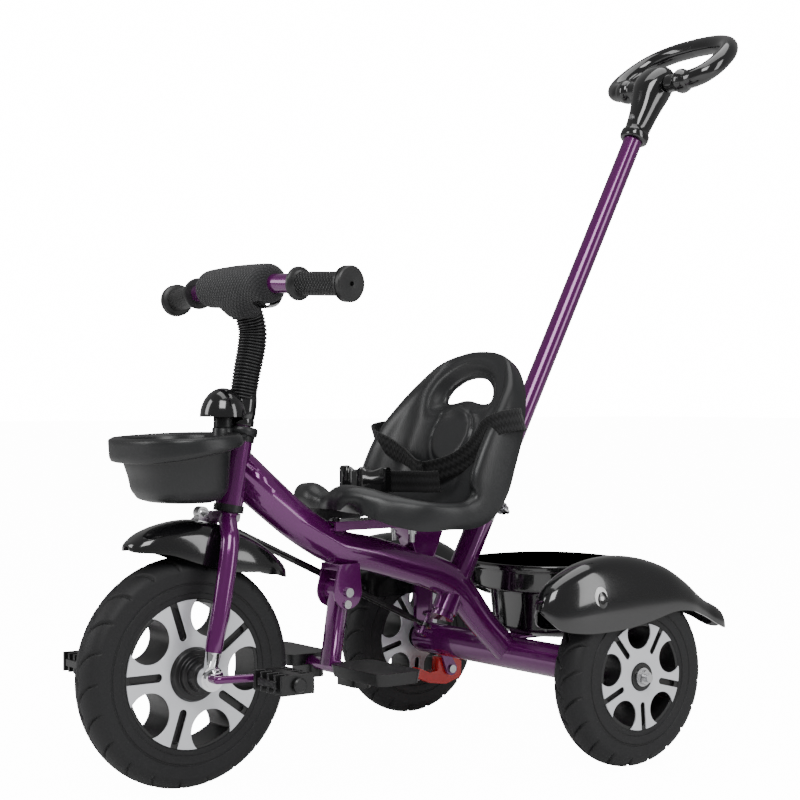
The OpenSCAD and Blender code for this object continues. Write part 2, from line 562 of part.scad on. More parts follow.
// Rear fender in the shape of a leaping sea animal: [y from the axle, lower edge, crown, half width]
fender_low = rear_r + 60;
fender_line = [[-140, 80, 85, 4], [-136, 74, 100, 15], [-122, 66, 117, 22], [-98, 60, 129, 27], [-70, 58, 137, 29.5],
    [-30, 60, 140, 30.5], [10, 66, 138, 30.5], [50, 72, 128, 30], [85, 70, 114, 27], [112, 60, 100, 22],
    [135, 50, 82, 16], [152, 44, 64, 11], [161, 42, 50, 5]];
function fender_station(s) = [wheelbase + s[0], rear_r + s[1], rear_r + s[2], s[3] + rear_w / 2 - 22];
module rear_fender(side) color([0.05, 0.05, 0.05]) placed() difference() {
    skin([for (s = curve(fender_line, 2)) arch(fender_station(s), side * half_track, 2.5)]);
}
module rear_fender_left() rear_fender(1);
module rear_fender_right() rear_fender(-1);
module brake_pins() color([0.8, 0.8, 0.8]) placed() both() translate([0, brake_y, brake_z]) along_x() {
    translate([0, 0, brake_x - 16]) cylinder(r = 3, h = 26, $fn = 24);
    translate([0, 0, brake_x + 7.5]) cylinder(r = 5.5, h = 3, $fn = 24);
    translate([0, 0, brake_x - 16]) cylinder(r = 5.5, h = 3 - gap / 2, $fn = 24);
}
// Red lever: a plate with a toe in front and a shoe towards the wheel
module brake_lever() color([0.8, 0.1, 0.08]) placed() translate([brake_x - 8, brake_y, brake_z]) difference() {
    union() {
        rotate([90, 0, 90]) linear_extrude(height = 15) polygon([[-18, 17], [7, 18], [21, 8], [20, -13], [-6, -21],
            [-34, -17], [-56, -8], [-58, 2], [-52, 5], [-34, -3], [-20, -1]]);
        translate([15, 3.5, 5.5]) cube([brake_reach, 10.5, 8]);
        translate([0, -56, -8]) cube([22, 12, 8]);
    }
    translate([-1, 0, 0]) along_x() cylinder(r = 3 + run, h = 17, $fn = 40);
}
brake_reach = rear_inner - 5 - (brake_x + 7);
module brake_lever_left() brake_lever();
module brake_lever_right() mirror([1, 0, 0]) brake_lever();

// ---- footrest -----------------------------------------------------------------------
module rest_frame() translate([0, hinge_rest[0], hinge_rest[1]]) rotate([-rest_tilt, 0, 0]) children();
rest_r = 12.5;
module footrest_leg() color(purple) placed() rest_frame() difference() {
    union() {
        translate([0, 0, -rest_leg]) cylinder(r = rest_r, h = rest_leg);
        along_x() cylinder(r = 13, h = 2 * plate_x - 4, center = true);
        translate([0, 0, -rest_leg]) along_x() cylinder(r = 8, h = 2 * rest_half - 60, center = true);
    }
    along_x() cylinder(r = 3 + run, h = 60, center = true, $fn = 40);
}
// Foot pads, level on the crossbar
module footrest_pads() color([0.07, 0.07, 0.07]) placed() both() difference() {
    translate([0, hinge_rest[0] - rest_leg * sin(rest_tilt), hinge_rest[1] - rest_leg * cos(rest_tilt)]) difference() {
        union() {
            hull() for (x = [rest_gap + 12, rest_half - 14], y = [-18, 18])
                translate([x, y, -4]) cylinder(r1 = 10, r2 = 13, h = 14, $fn = 32);
            hull() for (x = [rest_gap - 4, rest_gap + 22])
                translate([x, 0, -17]) cylinder(r = 12, h = 15, $fn = 32);
        }
        along_x() cylinder(r = 8, h = rest_half - 30);
    }
}
// ---- fork and front end -------------------------------------------------------------
leg_path = [[22, -12, crown_top - 10, 10.5, 10.5], [36, -17, crown_top - 20, 10.5, 10.5], [48, -20, 141, 10.5, 10.5],
    [56, -23.5, 82, 10.5, 10], [59, -27, 42, 10, 10], [59.5, -27.5, 24, 9.5, 9.5]];
link_z = crown_top - 17;                       // height of the link's front eye on the steering axis
module fork() color(purple) placed() steer_frame() {
    translate([0, 0, crown_top - 6]) cylinder(r = steerer_d / 2, h = steerer_top - crown_top + 6);
    hull() {
        translate([0, 0, crown_top - 8]) cylinder(r = 15, h = 8, $fn = 32);
        both() translate([20, -11, crown_top - 13]) cylinder(r = 10, h = 11, $fn = 32);
    }
    both() tube_skin(curve(leg_path, 4), n = 20);
    // steering arm with the pin of the link
    hull() {
        translate([0, 4, crown_top - 8]) cylinder(r = 9, h = 5, $fn = 32);
        translate([-arm_r, arm_back, crown_top - 8]) cylinder(r = 7, h = 5, $fn = 32);
    }
    translate([-arm_r, arm_back, link_z - 4]) cylinder(r = 3, h = crown_top - 8 - link_z + 5);
    translate([-arm_r, arm_back, link_z - 7]) cylinder(r = 5.5, h = 3);
}
// Chrome bearing cups that carry the crank rod at the ends of the fork
module axle_cups() color([0.85, 0.85, 0.87]) placed() both() difference() {
    union() {
        front_axle() translate([cup_in, 0, 0]) along_x() {
            cylinder(r = 14, h = cup_out - cup_in - 3);
            cylinder(r = 10, h = cup_out - cup_in);
        }
        hull() {
            steer_frame() translate([59.5, -27.4, 23]) rotate([0, -2, 0]) cylinder(r = 9, h = 1, $fn = 32);
            front_axle() translate([cup_in + 3, 0, 8]) along_x() cylinder(r = 6, h = 8, $fn = 32);
        }
    }
    front_axle() translate([cup_in - 5, 0, 0]) along_x() cylinder(r = crank_d / 2 + run, h = 40);
}
stem_path = [concat(steer(0, 0, steerer_top), [10.5, 10.5]), [0, 79, 316 + front_r, 10.5, 10.5],
    [0, 83, 338 + front_r, 10.5, 10.5], [0, 88.5, 363 + front_r, 10.5, 10.5], [0, 90.5, 383 + front_r, 10.5, 10.5],
    [0, 87, 400 + front_r, 10.5, 10.5], [0, 80, bar_z - 17, 10.5, 10.5], [0, bar_y + 1, bar_z - 4, 10.5, 10.5]];
module stem() color([0.3, 0.07, 0.35]) placed() difference() {
    tube_skin(curve(stem_path, 4), n = 20);
    bar_rods(bar_d / 2);
}
// Ribbed sleeve round the stem
ribs = 20;
sleeve = curve([for (i = [1 : len(stem_path) - 2]) stem_path[i]], 8);
function rib(i) = let (k = i * (len(sleeve) - 1) / (2 * ribs), a = floor(k), f = k - a)
    item(sleeve, a) * (1 - f) + item(sleeve, a + 1) * f;
sleeve_path = [for (i = [0 : 2 * ribs]) let (q = rib(i)) [0, q[1], q[2], 13 + 1.9 * (i % 2), 13 + 1.9 * (i % 2)]];
bore_path = [for (q = sleeve_path) [0, q[1], q[2], 10.9, 10.9]];
module stem_bellows() color([0.07, 0.07, 0.07]) placed() skin(concat(
    [for (i = [0 : 2 * ribs]) hoop(sleeve_path, i, [1, 0, 0], 16)],
    [for (i = [2 * ribs : -4 : 0]) hoop(bore_path, i, [1, 0, 0], 16)]), loop = true);
// Glossy cowl: a round base round the steerer and a visor over the basket's post
dome_y = 51;
dome_z = 286 + front_r;
dome_r = 24.5;
module dome(r, h) rotate_extrude() polygon([for (q = [0 : 10 : 90]) [r * cos(q), h * sin(q)], [0, 0]]);
module stem_cowl() color([0.04, 0.04, 0.04]) placed() difference() {
    union() {
        translate([0, dome_y, dome_z]) dome(dome_r, 31);
        steer_frame() translate([0, 0, ring_low + ring_h + gap]) {
            cylinder(r = 14, h = 7);
            translate([0, 0, 7]) cylinder(r1 = 13.6, r2 = 13, h = 22);
        }
    }
    difference() {
        translate([0, dome_y, dome_z - 0.1]) dome(dome_r - 2.5, 28.5);
        steer_frame() cylinder(r = 13, h = 400);
    }
    steer_frame() cylinder(r = steerer_d / 2 + 0.1, h = steerer_top + 0.1);
    tube_skin([for (p = curve(stem_path, 4)) p + [0, 0, 0, 0.3, 0.3]], n = 20);
}
function bar_end(x) = [x, bar_y + (abs(x) - bar_knee) * bar_sweep, bar_z - (abs(x) - bar_knee) * bar_drop];
module bar_rods(r) {
    along_x() translate([-bar_z, bar_y, -bar_knee]) cylinder(r = r, h = 2 * bar_knee);
    both() bar(bar_end(bar_knee - 1), bar_end(bar_half - 2), r);
}
module handlebar() color(purple) placed() bar_rods(bar_d / 2);
module bar_pad() color([0.09, 0.09, 0.09]) placed() difference() {
    union() {
        translate([0, bar_y, bar_z]) along_x() rotate_extrude() polygon(concat(
            [[0, -pad_len / 2]], [for (q = [-90 : 15 : 0]) [12.5 + 10 * cos(q), -pad_len / 2 + 12 + 12 * sin(q)]],
            [for (q = [0 : 15 : 90]) [12.5 + 10 * cos(q), pad_len / 2 - 12 + 12 * sin(q)]], [[0, pad_len / 2]]));
        bar(mix(pad_foot, pad_root, 0.45), pad_root, 19);
    }
    translate([0, bar_y, bar_z]) along_x() cylinder(r = bar_d / 2 + 2.2, h = 2 * pad_len, center = true);
    bar(pad_foot, pad_root, 15.6);
}
pad_foot = [0, 88.5, bar_z - 50];          // the pad's leg follows this line round the stem
pad_root = [0, bar_y + 2, bar_z - 6];
grip_start = bar_half - grip_len;
module grip() difference() {
    union() {
        bar(bar_end(grip_start), bar_end(bar_half), bar_d / 2 + 2.5);
        bar(bar_end(grip_start - 2.5), bar_end(grip_start + 2.5), 19);
        bar(bar_end(bar_half - 5), bar_end(bar_half + 3), 20);
    }
    bar(bar_end(bar_knee), bar_end(bar_half - 2), bar_d / 2);
    bar(bar_end(bar_half - 3), bar_end(bar_half + 6), 2.5);
}
module grip_left() color([0.08, 0.08, 0.08]) placed() grip();
module grip_right() color([0.08, 0.08, 0.08]) placed() mirror([1, 0, 0]) grip();

// Front basket: an oval tub with a deep lip, a deck behind it and a collar on the steerer
basket_z = 266 + front_r;
ba = basket_a;
bb = 0.74 * basket_a;
basket_y = -12;
module front_basket() color([0.13, 0.13, 0.13]) placed() difference() {
    union() {
        skin([
            outline(basket_y + 6, basket_z - 74, ba - 38, bb - 26), outline(basket_y + 6, basket_z - 69, ba - 29, bb - 18),
            outline(basket_y + 5, basket_z - 46, ba - 23, bb - 15), outline(basket_y + 3, basket_z - 28, ba - 19, bb - 13, tilt = 0.06),
            outline(basket_y + 3, basket_z - 20, ba - 18, bb - 12, tilt = 0.1), outline(basket_y + 2, basket_z - 20, ba - 3, bb - 2, tilt = 0.1),
            outline(basket_y + 2, basket_z - 16, ba, bb, tilt = 0.08),
            outline(basket_y, basket_z - 3, ba - 2, bb), outline(basket_y + 1, basket_z, ba - 6, bb - 4),
            outline(basket_y + 2, basket_z - 3, ba - 12, bb - 10), outline(basket_y + 3, basket_z - 26, ba - 22, bb - 16),
            outline(basket_y + 6, basket_z - 66, ba - 32, bb - 21), outline(basket_y + 6, basket_z - 71, ba - 41, bb - 29)]);
        // deck from the rim back to the collar
        difference() {
            hull() {
                translate([0, 44, basket_z - 10]) resize([92, 24, 8]) cylinder(r = 20, h = 8, $fn = 32);
                steer_frame() translate([0, 0, ring_low]) cylinder(r = head_d / 2 + 4, h = ring_h, $fn = 32);
            }
            skin([for (z = [-30, 10]) outline(basket_y + 2, basket_z + z, ba - 12, bb - 10)]);
        }
        // post under the visor
        translate([0, dome_y, basket_z - 4]) {
            cylinder(r = 12.5, h = 12);
            cylinder(r = 11, h = dome_z - basket_z + 10);
        }
    }
    steer_frame() translate([0, 0, ring_low - 60]) cylinder(r = head_d / 2 + 2.5, h = 60);
    steer_frame() cylinder(r = steerer_d / 2 + 0.1, h = 400);
}
front_fender_line = [[-72, 140, 147, 8], [-68, 138, 150, 17], [-54, 137, 159, 25], [-30, 134, 167, 30], [0, 124, 171, 33],
    [28, 116, 168, 33.5], [54, 111, 160, 33], [80, 109, 149, 32], [104, 105, 134, 28], [123, 100, 118, 19], [132, 101, 107, 7]];
module front_fender() color([0.04, 0.04, 0.04]) placed()
    skin([for (s = curve(front_fender_line, 2)) arch([s[0], s[1] + front_r, s[2] + front_r, s[3] + front_w / 2 - 23.5], 0, 2.5)]);
// Eye bracket between the crown and the front fender
module fender_bracket() color([0.6, 0.6, 0.62]) placed() translate([0, 22, front_r + 178]) difference() {
    union() {
        along_x() cylinder(r = 7, h = 12, center = true, $fn = 32);
        translate([-6, -6, -9.5]) cube([12, 14, 6]);
    }
    along_x() cylinder(r = 4, h = 20, center = true, $fn = 32);
}
// ---- push pole ----------------------------------------------------------------------
module push_pole() color(purple) placed() pole_frame() difference() {
    union() {
        translate([0, 0, socket_low - 4]) cylinder(r = pole_d / 2, h = handle_at - 91 - socket_low + 4);
        translate([0, 0, handle_at - 92]) cylinder(r = pole_d / 2 - 1.5, h = pole_len + 92 - handle_at);
    }
    translate([0, 0, socket_low + 8]) cylinder(r = pole_d / 2 - 3.5, h = pole_len);
    translate([0, 0, socket_top + 26]) rotate([90, 0, 0]) cylinder(r = 3, h = 60, center = true, $fn = 24);
}
// Collar that rests on the socket, with the bolt that holds the pole
module pole_collar() color([0.78, 0.78, 0.8]) placed() pole_frame() {
    difference() {
        translate([0, 0, socket_top + gap]) cylinder(r = socket_r, h = 34);
        translate([0, 0, socket_top]) cylinder(r = pole_d / 2, h = 40);
    }
    translate([0, 0, socket_top + 26]) rotate([-90, 0, 0]) {
        translate([0, 0, -socket_r - 3]) cylinder(r = 3, h = 2 * socket_r + 16, $fn = 24);
        translate([0, 0, socket_r]) cylinder(r = 6.5, h = 6, $fn = 6);
        translate([0, 0, -socket_r - 4]) cylinder(r = 6, h = 4, $fn = 24);
    }
}
module pole_crank() color([0.3, 0.07, 0.35]) placed() pole_frame() {
    hull() {
        translate([0, 0, socket_low - 8]) cylinder(r = socket_r - 1, h = 4, $fn = 32);
        translate([-arm_r, arm_back, socket_low - 8]) cylinder(r = 8, h = 4, $fn = 32);
    }
    translate([-arm_r, arm_back, socket_low - 30]) cylinder(r = 3, h = 24);
    translate([-arm_r, arm_back, socket_low - 33]) cylinder(r = 7, h = 3);
}
// Handle neck: rings up the pole frame: [height, half width, half depth, offset back]
neck_line = [[-90, 17, 16.5, 0], [-87, 18.5, 18.5, 0], [-78, 18.5, 18.5, 0], [-76, 16, 16.5, 0], [-58, 17, 17, 0],
    [-25, 22, 18, 0], [0, 28, 19, 0], [16, 26, 17, 0], [25, 20, 11, 0], [28, 12, 4, 0]];
module handle_neck() color([0.05, 0.05, 0.05]) placed() pole_frame() difference() {
    skin([for (s = curve(neck_line, 3)) [for (p = outline(s[3], handle_at + s[0], s[1], s[2], 2.4, 28)) p]]);
    translate([0, 0, handle_at - 95]) cylinder(r = pole_d / 2 - 1.5, h = pole_len - handle_at + 95);
    translate([0, 0, handle_at]) along_x() cylinder(r = 5 + run, h = 80, center = true);
}
module neck_screws() color([0.8, 0.8, 0.8]) placed() pole_frame()
    for (z = [-62, -26]) translate([0, 0, handle_at + z]) rotate([90, 0, 0]) {
        translate([0, 0, pole_d / 2 - 1]) cylinder(r = 2, h = 4, $fn = 24);
        translate([0, 0, 15]) cylinder(r = 4, h = 4, $fn = 24);
    }
// Handle loop: an oval ring whose ends are held by bosses on both sides of the neck
// Points of half the loop: [across, away from the hinge, radius]; the ball is near the hinge
loop_points = [[28 + gap, 0, 12.5], [42, 0, 12.5], [46, 0, 15], [52, 0, 17], [58, 0, 15.5], [63, 1, 13.2],
    [72, 3, loop_r], [84, 11, loop_r], [90, 27, loop_r], [90, 46, loop_r], [84, 70, loop_r],
    [68, loop_back - 17, loop_r], [38, loop_back - 4, loop_r], [0, loop_back, loop_r]];
loop_half = curve([for (q = loop_points) [q[0], q[1] * cos(loop_up), q[1] * sin(loop_up), q[2], q[2]]], 2);
loop_all = concat(loop_half, [for (i = [len(loop_half) - 2 : -1 : 0]) let (q = loop_half[i]) [-q[0], q[1], q[2], q[3], q[4]]]);
module push_handle() color([0.05, 0.05, 0.05]) placed() translate(pole(0, 0, handle_at)) {
    tube_skin(loop_all, ref = [0, -sin(loop_up), cos(loop_up)], n = 16);
    along_x() cylinder(r = 5, h = 2 * 50, center = true);
}
// Steering link: an eye on the fork's arm, a flat rod, and a wide eye on the pole's arm
eye_z = socket_low - 20;                        // middle of the rear eye in the pole frame
link_t = 4;
module steering_link() color([0.06, 0.06, 0.06]) placed() difference() {
    union() {
        steer_frame() translate([-arm_r, arm_back, link_z - link_t / 2]) cylinder(r = 7.5, h = link_t);
        pole_frame() translate([-arm_r, arm_back, eye_z - link_t / 2]) cylinder(r = 9, h = link_t);
        hull() {
            steer_frame() translate([-arm_r, arm_back + 16, link_z - 1.5]) cylinder(r = 3.5, h = 3, $fn = 24);
            steer_frame() translate([-arm_r, arm_back + 6, link_z - 1.5]) cylinder(r = 3.5, h = 3, $fn = 24);
        }
        hull() {
            steer_frame() translate([-arm_r, arm_back + 16, link_z - 1.5]) cylinder(r = 3.5, h = 3, $fn = 24);
            pole_frame() translate([-arm_r, arm_back - 9, eye_z - 1.5]) cylinder(r = 3.5, h = 3, $fn = 24);
        }
    }
    steer_frame() translate([-arm_r, arm_back, link_z - 10]) cylinder(r = 3 + run, h = 20);
    pole_frame() translate([-arm_r, arm_back, eye_z - 10]) cylinder(r = 4.6, h = 20);
}

head_tube();
headset_cups();
main_tube();
rear_cross_tube();
pole_socket();
seat_rail();
footrest_bracket();
footrest_bolts();
rear_axle();
axle_nuts();
seat();
seat_bolts();
rear_bucket();
rear_fender_left();
rear_fender_right();
shoulder_straps();
waist_strap();
buckle_socket();
buckle_tongue();
brake_pins();
fork();
axle_cups();
stem();
stem_bellows();
stem_cowl();
handlebar();
bar_pad();
grip_left();
grip_right();
front_basket();
front_fender();
fender_bracket();
front_tyre();
front_rim();
front_covers();
front_hub();
crank();
pedal_left();
pedal_right();
rear_tyre_left();
rear_rim_left();
rear_covers_left();
rear_bearing_left();
rear_tyre_right();
rear_rim_right();
rear_covers_right();
rear_bearing_right();
brake_lever_left();
brake_lever_right();
footrest_leg();
footrest_pads();
push_pole();
pole_collar();
pole_crank();
handle_neck();
neck_screws();
push_handle();
steering_link();
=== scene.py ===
"""Looks of the children's tricycle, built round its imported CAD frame. Metres; +X rider's left, -Y front."""
import json
import math

import bmesh
import bpy
import numpy as np
from mathutils import Matrix, Vector

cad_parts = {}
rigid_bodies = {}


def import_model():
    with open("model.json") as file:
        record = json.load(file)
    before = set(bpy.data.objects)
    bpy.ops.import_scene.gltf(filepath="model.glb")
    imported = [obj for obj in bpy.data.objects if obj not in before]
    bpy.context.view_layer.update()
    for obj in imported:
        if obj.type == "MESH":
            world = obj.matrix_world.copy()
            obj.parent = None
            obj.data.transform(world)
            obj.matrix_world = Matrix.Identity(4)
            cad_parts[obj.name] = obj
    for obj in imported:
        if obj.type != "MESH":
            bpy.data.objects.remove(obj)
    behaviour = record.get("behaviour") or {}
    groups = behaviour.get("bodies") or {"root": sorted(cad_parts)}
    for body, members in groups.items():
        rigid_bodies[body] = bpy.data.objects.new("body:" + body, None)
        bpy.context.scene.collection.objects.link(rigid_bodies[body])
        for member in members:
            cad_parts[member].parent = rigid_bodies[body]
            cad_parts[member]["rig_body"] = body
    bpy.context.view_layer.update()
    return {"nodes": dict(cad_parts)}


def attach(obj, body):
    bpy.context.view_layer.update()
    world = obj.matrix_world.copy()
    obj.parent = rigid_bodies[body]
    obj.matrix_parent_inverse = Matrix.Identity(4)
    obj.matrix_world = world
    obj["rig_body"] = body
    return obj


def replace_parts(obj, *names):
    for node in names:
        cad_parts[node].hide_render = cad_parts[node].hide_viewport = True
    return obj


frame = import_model()

# ---------------------------------------------------------------- sizes shared with the CAD, in mm
MID = 356.671
FRONT_R, REAR_R, WB, HALF_TRACK = 130.0, 108.4, 480.0, 217.0
LEAN, POLE_LEAN = math.radians(10), math.radians(28)
STEER_Y = 26 / math.cos(LEAN)
POLE_Y, POLE_Z, HANDLE_AT = 361.0, 150.0, 816.0
BAR_Y, BAR_Z = 74.0, 566.0
SEAT_Z, BACK_H, SW = 298.0, 198.0, 121.0
LINK_Z, EYE_Z = 162.5, 2.0
BUCKLE = (-34.0, 291.0, 336.0)


def steer(x, y, z):
    c, s = math.cos(LEAN), math.sin(LEAN)
    return np.array([x, STEER_Y + y * c + z * s, FRONT_R - y * s + z * c])


STEER_AXIS = (0, math.sin(LEAN), math.cos(LEAN))


def pole(x, y, z):
    c, s = math.cos(POLE_LEAN), math.sin(POLE_LEAN)
    return np.array([x, POLE_Y + y * c + z * s, POLE_Z - y * s + z * c])


def bar_end(x):
    return np.array([x, BAR_Y + (abs(x) - 60) * 0.1665, BAR_Z - (abs(x) - 60) * 0.053])


# ---------------------------------------------------------------- node groups and materials
def new_group(name, inputs, output, kind="NodeSocketFloat"):
    g = bpy.data.node_groups.new(name, "ShaderNodeTree")
    for n, v in inputs:
        g.interface.new_socket(n, in_out="INPUT", socket_type="NodeSocketFloat").default_value = v
    g.interface.new_socket(output, in_out="OUTPUT", socket_type=kind)
    return g, g.nodes.new("NodeGroupInput"), g.nodes.new("NodeGroupOutput")


def math_node(tree, op, a, b=None, c=None, clamp=False):
    n = tree.nodes.new("ShaderNodeMath")
    n.operation, n.use_clamp = op, clamp
    for i, v in enumerate((a, b, c)):
        if v is None:
            continue
        if isinstance(v, (int, float)):
            n.inputs[i].default_value = v
        else:
            tree.links.new(v, n.inputs[i])
    return n.outputs[0]


def coords(tree, kind):
    n = tree.nodes.new("ShaderNodeTexCoord")
    return n.outputs[kind]


def split(tree, vec):
    n = tree.nodes.new("ShaderNodeSeparateXYZ")
    tree.links.new(vec, n.inputs[0])
    return n.outputs


def grain_group():
    """Fine leathery grain with a few broad marks; Scale is in cells per metre."""
    g, gi, go = new_group("grain", [("Scale", 900), ("Detail", 0.5)], "Height")
    n = g.nodes.new("ShaderNodeTexNoise")
    n.inputs["Detail"].default_value = 3
    g.links.new(coords(g, "Object"), n.inputs["Vector"])
    g.links.new(gi.outputs["Scale"], n.inputs["Scale"])
    v = g.nodes.new("ShaderNodeTexVoronoi")
    g.links.new(coords(g, "Object"), v.inputs["Vector"])
    g.links.new(gi.outputs["Scale"], v.inputs["Scale"])
    m = math_node(g, "MULTIPLY", v.outputs["Distance"], gi.outputs["Detail"])
    g.links.new(math_node(g, "ADD", n.outputs[0], m), go.inputs[0])
    return g


def weave_group():
    """Chevron ribs from UV: U runs across the ribs, V along them."""
    g, gi, go = new_group("weave", [("Across", 300), ("Slant", 1.0), ("Waves", 20)], "Height")
    u, v, _ = split(g, coords(g, "UV"))
    wave = math_node(g, "PINGPONG", math_node(g, "MULTIPLY", v, gi.outputs["Waves"]), 1.0)
    lean = math_node(g, "MULTIPLY", wave, gi.outputs["Slant"])
    run = math_node(g, "MULTIPLY_ADD", u, gi.outputs["Across"], lean)
    g.links.new(math_node(g, "SINE", math_node(g, "MULTIPLY", run, 6.28318)), go.inputs[0])
    return g


def diamond_group():
    """Rows of raised diamonds from UV."""
    g, gi, go = new_group("diamonds", [("U", 30), ("V", 30)], "Height")
    u, v, _ = split(g, coords(g, "UV"))
    a, b = math_node(g, "MULTIPLY", u, gi.outputs["U"]), math_node(g, "MULTIPLY", v, gi.outputs["V"])
    ridges = []
    for op in ("ADD", "SUBTRACT"):
        run = math_node(g, "MULTIPLY", math_node(g, op, a, b), 3.14159)
        ridges.append(math_node(g, "ABSOLUTE", math_node(g, "SINE", run)))
    m = math_node(g, "MULTIPLY", ridges[0], ridges[1])
    g.links.new(math_node(g, "POWER", m, 0.6, clamp=True), go.inputs[0])
    return g


def flow_group():
    """Slow variation, 0 to 1, for colour and roughness."""
    g, gi, go = new_group("flow", [("Scale", 12)], "Value")
    n = g.nodes.new("ShaderNodeTexNoise")
    n.inputs["Detail"].default_value = 2
    g.links.new(coords(g, "Object"), n.inputs["Vector"])
    g.links.new(gi.outputs["Scale"], n.inputs["Scale"])
    g.links.new(n.outputs[0], go.inputs[0])
    return g


GROUPS = {"grain": grain_group(), "weave": weave_group(), "diamonds": diamond_group(), "flow": flow_group()}


def use(tree, name, **values):
    n = tree.nodes.new("ShaderNodeGroup")
    n.node_tree = GROUPS[name]
    for k, v in values.items():
        n.inputs[k].default_value = v
    return n.outputs[0]


def material(name, color, rough, metallic=0.0, coat=0.0, coat_rough=0.03, bump=None, height=0.0, vary=0.0,
             raised_highlight=None, spec=0.5, flow_scale=12, sheen=0.0):
    """bump is (group, settings); height is in metres; the second colour is a painted highlight on the bump's
    high places, leaving the hollows darker as painted shade.
    """
    m = bpy.data.materials.new(name)
    m.use_nodes = True
    t = m.node_tree
    p = t.nodes["Principled BSDF"]
    p.inputs["Base Color"].default_value = (*color, 1)
    p.inputs["Roughness"].default_value = rough
    p.inputs["Metallic"].default_value = metallic
    p.inputs["Coat Weight"].default_value = coat
    p.inputs["Coat Roughness"].default_value = coat_rough
    p.inputs["Specular IOR Level"].default_value = spec
    if sheen:
        p.inputs["Sheen Weight"].default_value = sheen
        p.inputs["Sheen Roughness"].default_value = 0.4
    if bump:
        h = use(t, bump[0], **bump[1])
        b = t.nodes.new("ShaderNodeBump")
        b.inputs["Strength"].default_value = 1.0
        b.inputs["Distance"].default_value = height
        t.links.new(h, b.inputs["Height"])
        t.links.new(b.outputs[0], p.inputs["Normal"])
        # Painted highlight and shade: the second colour is mixed in by the bump's height, lighter on the
        # raised places and darker in the hollows.
        if raised_highlight:
            mix = t.nodes.new("ShaderNodeMix")
            mix.data_type = "RGBA"
            mix.inputs[6].default_value = (*color, 1)
            mix.inputs[7].default_value = (*raised_highlight, 1)
            t.links.new(math_node(t, "MULTIPLY_ADD", h, 0.5, 0.5, clamp=True), mix.inputs[0])
            t.links.new(mix.outputs[2], p.inputs["Base Color"])
    if vary:
        f = use(t, "flow", Scale=flow_scale)
        t.links.new(math_node(t, "MULTIPLY_ADD", f, 2 * vary, rough - vary), p.inputs["Roughness"])
    return m


def grain(scale, detail):
    return "grain", {"Scale": scale, "Detail": detail}


MAT = {
    "paint": material("paint", (0.12, 0.001, 0.115), 0.18, metallic=0.45, coat=1.0, coat_rough=0.02,
                      bump=grain(260, 0.1), height=0.00002, vary=0.04, spec=0.6),
    "tyre": material("tyre", (0.012, 0.012, 0.013), 0.55, bump=grain(1100, 0.8), height=0.00012, vary=0.08,
                     spec=0.35),
    "wheel_black": material("wheel_black", (0.009, 0.009, 0.0095), 0.34, bump=grain(1500, 0.4),
                            height=0.00004, vary=0.06),
    "wheel_cover": material("wheel_cover", (0.72, 0.73, 0.76), 0.3, metallic=0.35, coat=0.35, coat_rough=0.1,
                            bump=grain(900, 0.1), height=0.00001, vary=0.04),
    "bearing": material("bearing", (0.55, 0.55, 0.56), 0.28, metallic=1.0, vary=0.08, flow_scale=60),
    "chrome": material("chrome", (0.86, 0.86, 0.88), 0.07, metallic=1.0, vary=0.02),
    "shell": material("shell", (0.014, 0.0145, 0.0155), 0.36, bump=grain(1300, 0.7), height=0.00005,
                      vary=0.05, spec=0.45),
    "gloss_black": material("gloss_black", (0.004, 0.004, 0.0045), 0.13, coat=0.8, coat_rough=0.04,
                            bump=grain(160, 0.1), height=0.00002, vary=0.03, spec=0.6),
    # Webbing, pad cloth and grip nubs: the lighter second colour on the raised places is a painted highlight,
    # and the darker hollows are painted shade.
    "webbing": material("webbing", (0.007, 0.007, 0.0075), 0.7,
                        bump=("weave", {"Across": 9, "Slant": 0.4, "Waves": 80}), height=0.00035,
                        raised_highlight=(0.018, 0.018, 0.019), spec=0.3, sheen=0.1),
    "pad_cloth": material("pad_cloth", (0.006, 0.006, 0.0065), 0.8, bump=("diamonds", {"U": 24, "V": 26}),
                          height=0.0012, raised_highlight=(0.032, 0.032, 0.034), spec=0.3, sheen=0.12),
    "grip": material("grip", (0.011, 0.011, 0.0115), 0.4, bump=grain(1500, 0.5), height=0.00003, vary=0.05),
    "grip_nubs": material("grip_nubs", (0.009, 0.009, 0.0095), 0.36, bump=("diamonds", {"U": 14, "V": 15}),
                          height=0.0026, raised_highlight=(0.016, 0.016, 0.017)),
    "brake_red": material("brake_red", (0.62, 0.008, 0.006), 0.28, coat=0.5, vary=0.05, bump=grain(500, 0.1),
                          height=0.00002),
    "link": material("link", (0.005, 0.005, 0.005), 0.3, coat=0.6, vary=0.05),
    "eye_white": material("eye_white", (0.75, 0.75, 0.74), 0.3, coat=0.3),
}


# ---------------------------------------------------------------- mesh helpers
NODES = frame["nodes"]


def between(a, b, c, d, t):
    """A smooth step from b to c, with a and d as the rows before and after them."""
    square, cube = 2 * a - 5 * b + 4 * c - d, 3 * b - a - 3 * c + d
    return 0.5 * (2 * b + (c - a) * t + square * t * t + cube * t * t * t)


def curve(points, n):
    """Smooth rows through the listed rows or rings, with n steps in each stretch."""
    p = np.array(points, float)
    last = len(p) - 1
    out = []
    for i in range(last):
        four = [p[max(0, min(last, i + k))] for k in (-1, 0, 1, 2)]
        out += [between(*four, k / n) for k in range(n)]
    return np.array(out + [p[-1]])


def world(p):
    """Millimetres measured from the front axle, to metres in the row frame."""
    p = np.array(p, float)
    return np.stack([p[..., 0], p[..., 1] - MID, p[..., 2]], -1) / 1000


def piece(name, bm, mat, body, angle=40):
    """Finishes a bmesh as a smooth piece that rides on a body."""
    bmesh.ops.recalc_face_normals(bm, faces=bm.faces)
    mesh = bpy.data.meshes.new(name)
    bm.to_mesh(mesh)
    bm.free()
    obj = bpy.data.objects.new(name, mesh)
    bpy.context.collection.objects.link(obj)
    mesh.materials.append(MAT[mat])
    mesh.shade_smooth()
    mesh.set_sharp_from_angle(angle=math.radians(angle))
    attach(obj, body)
    return obj


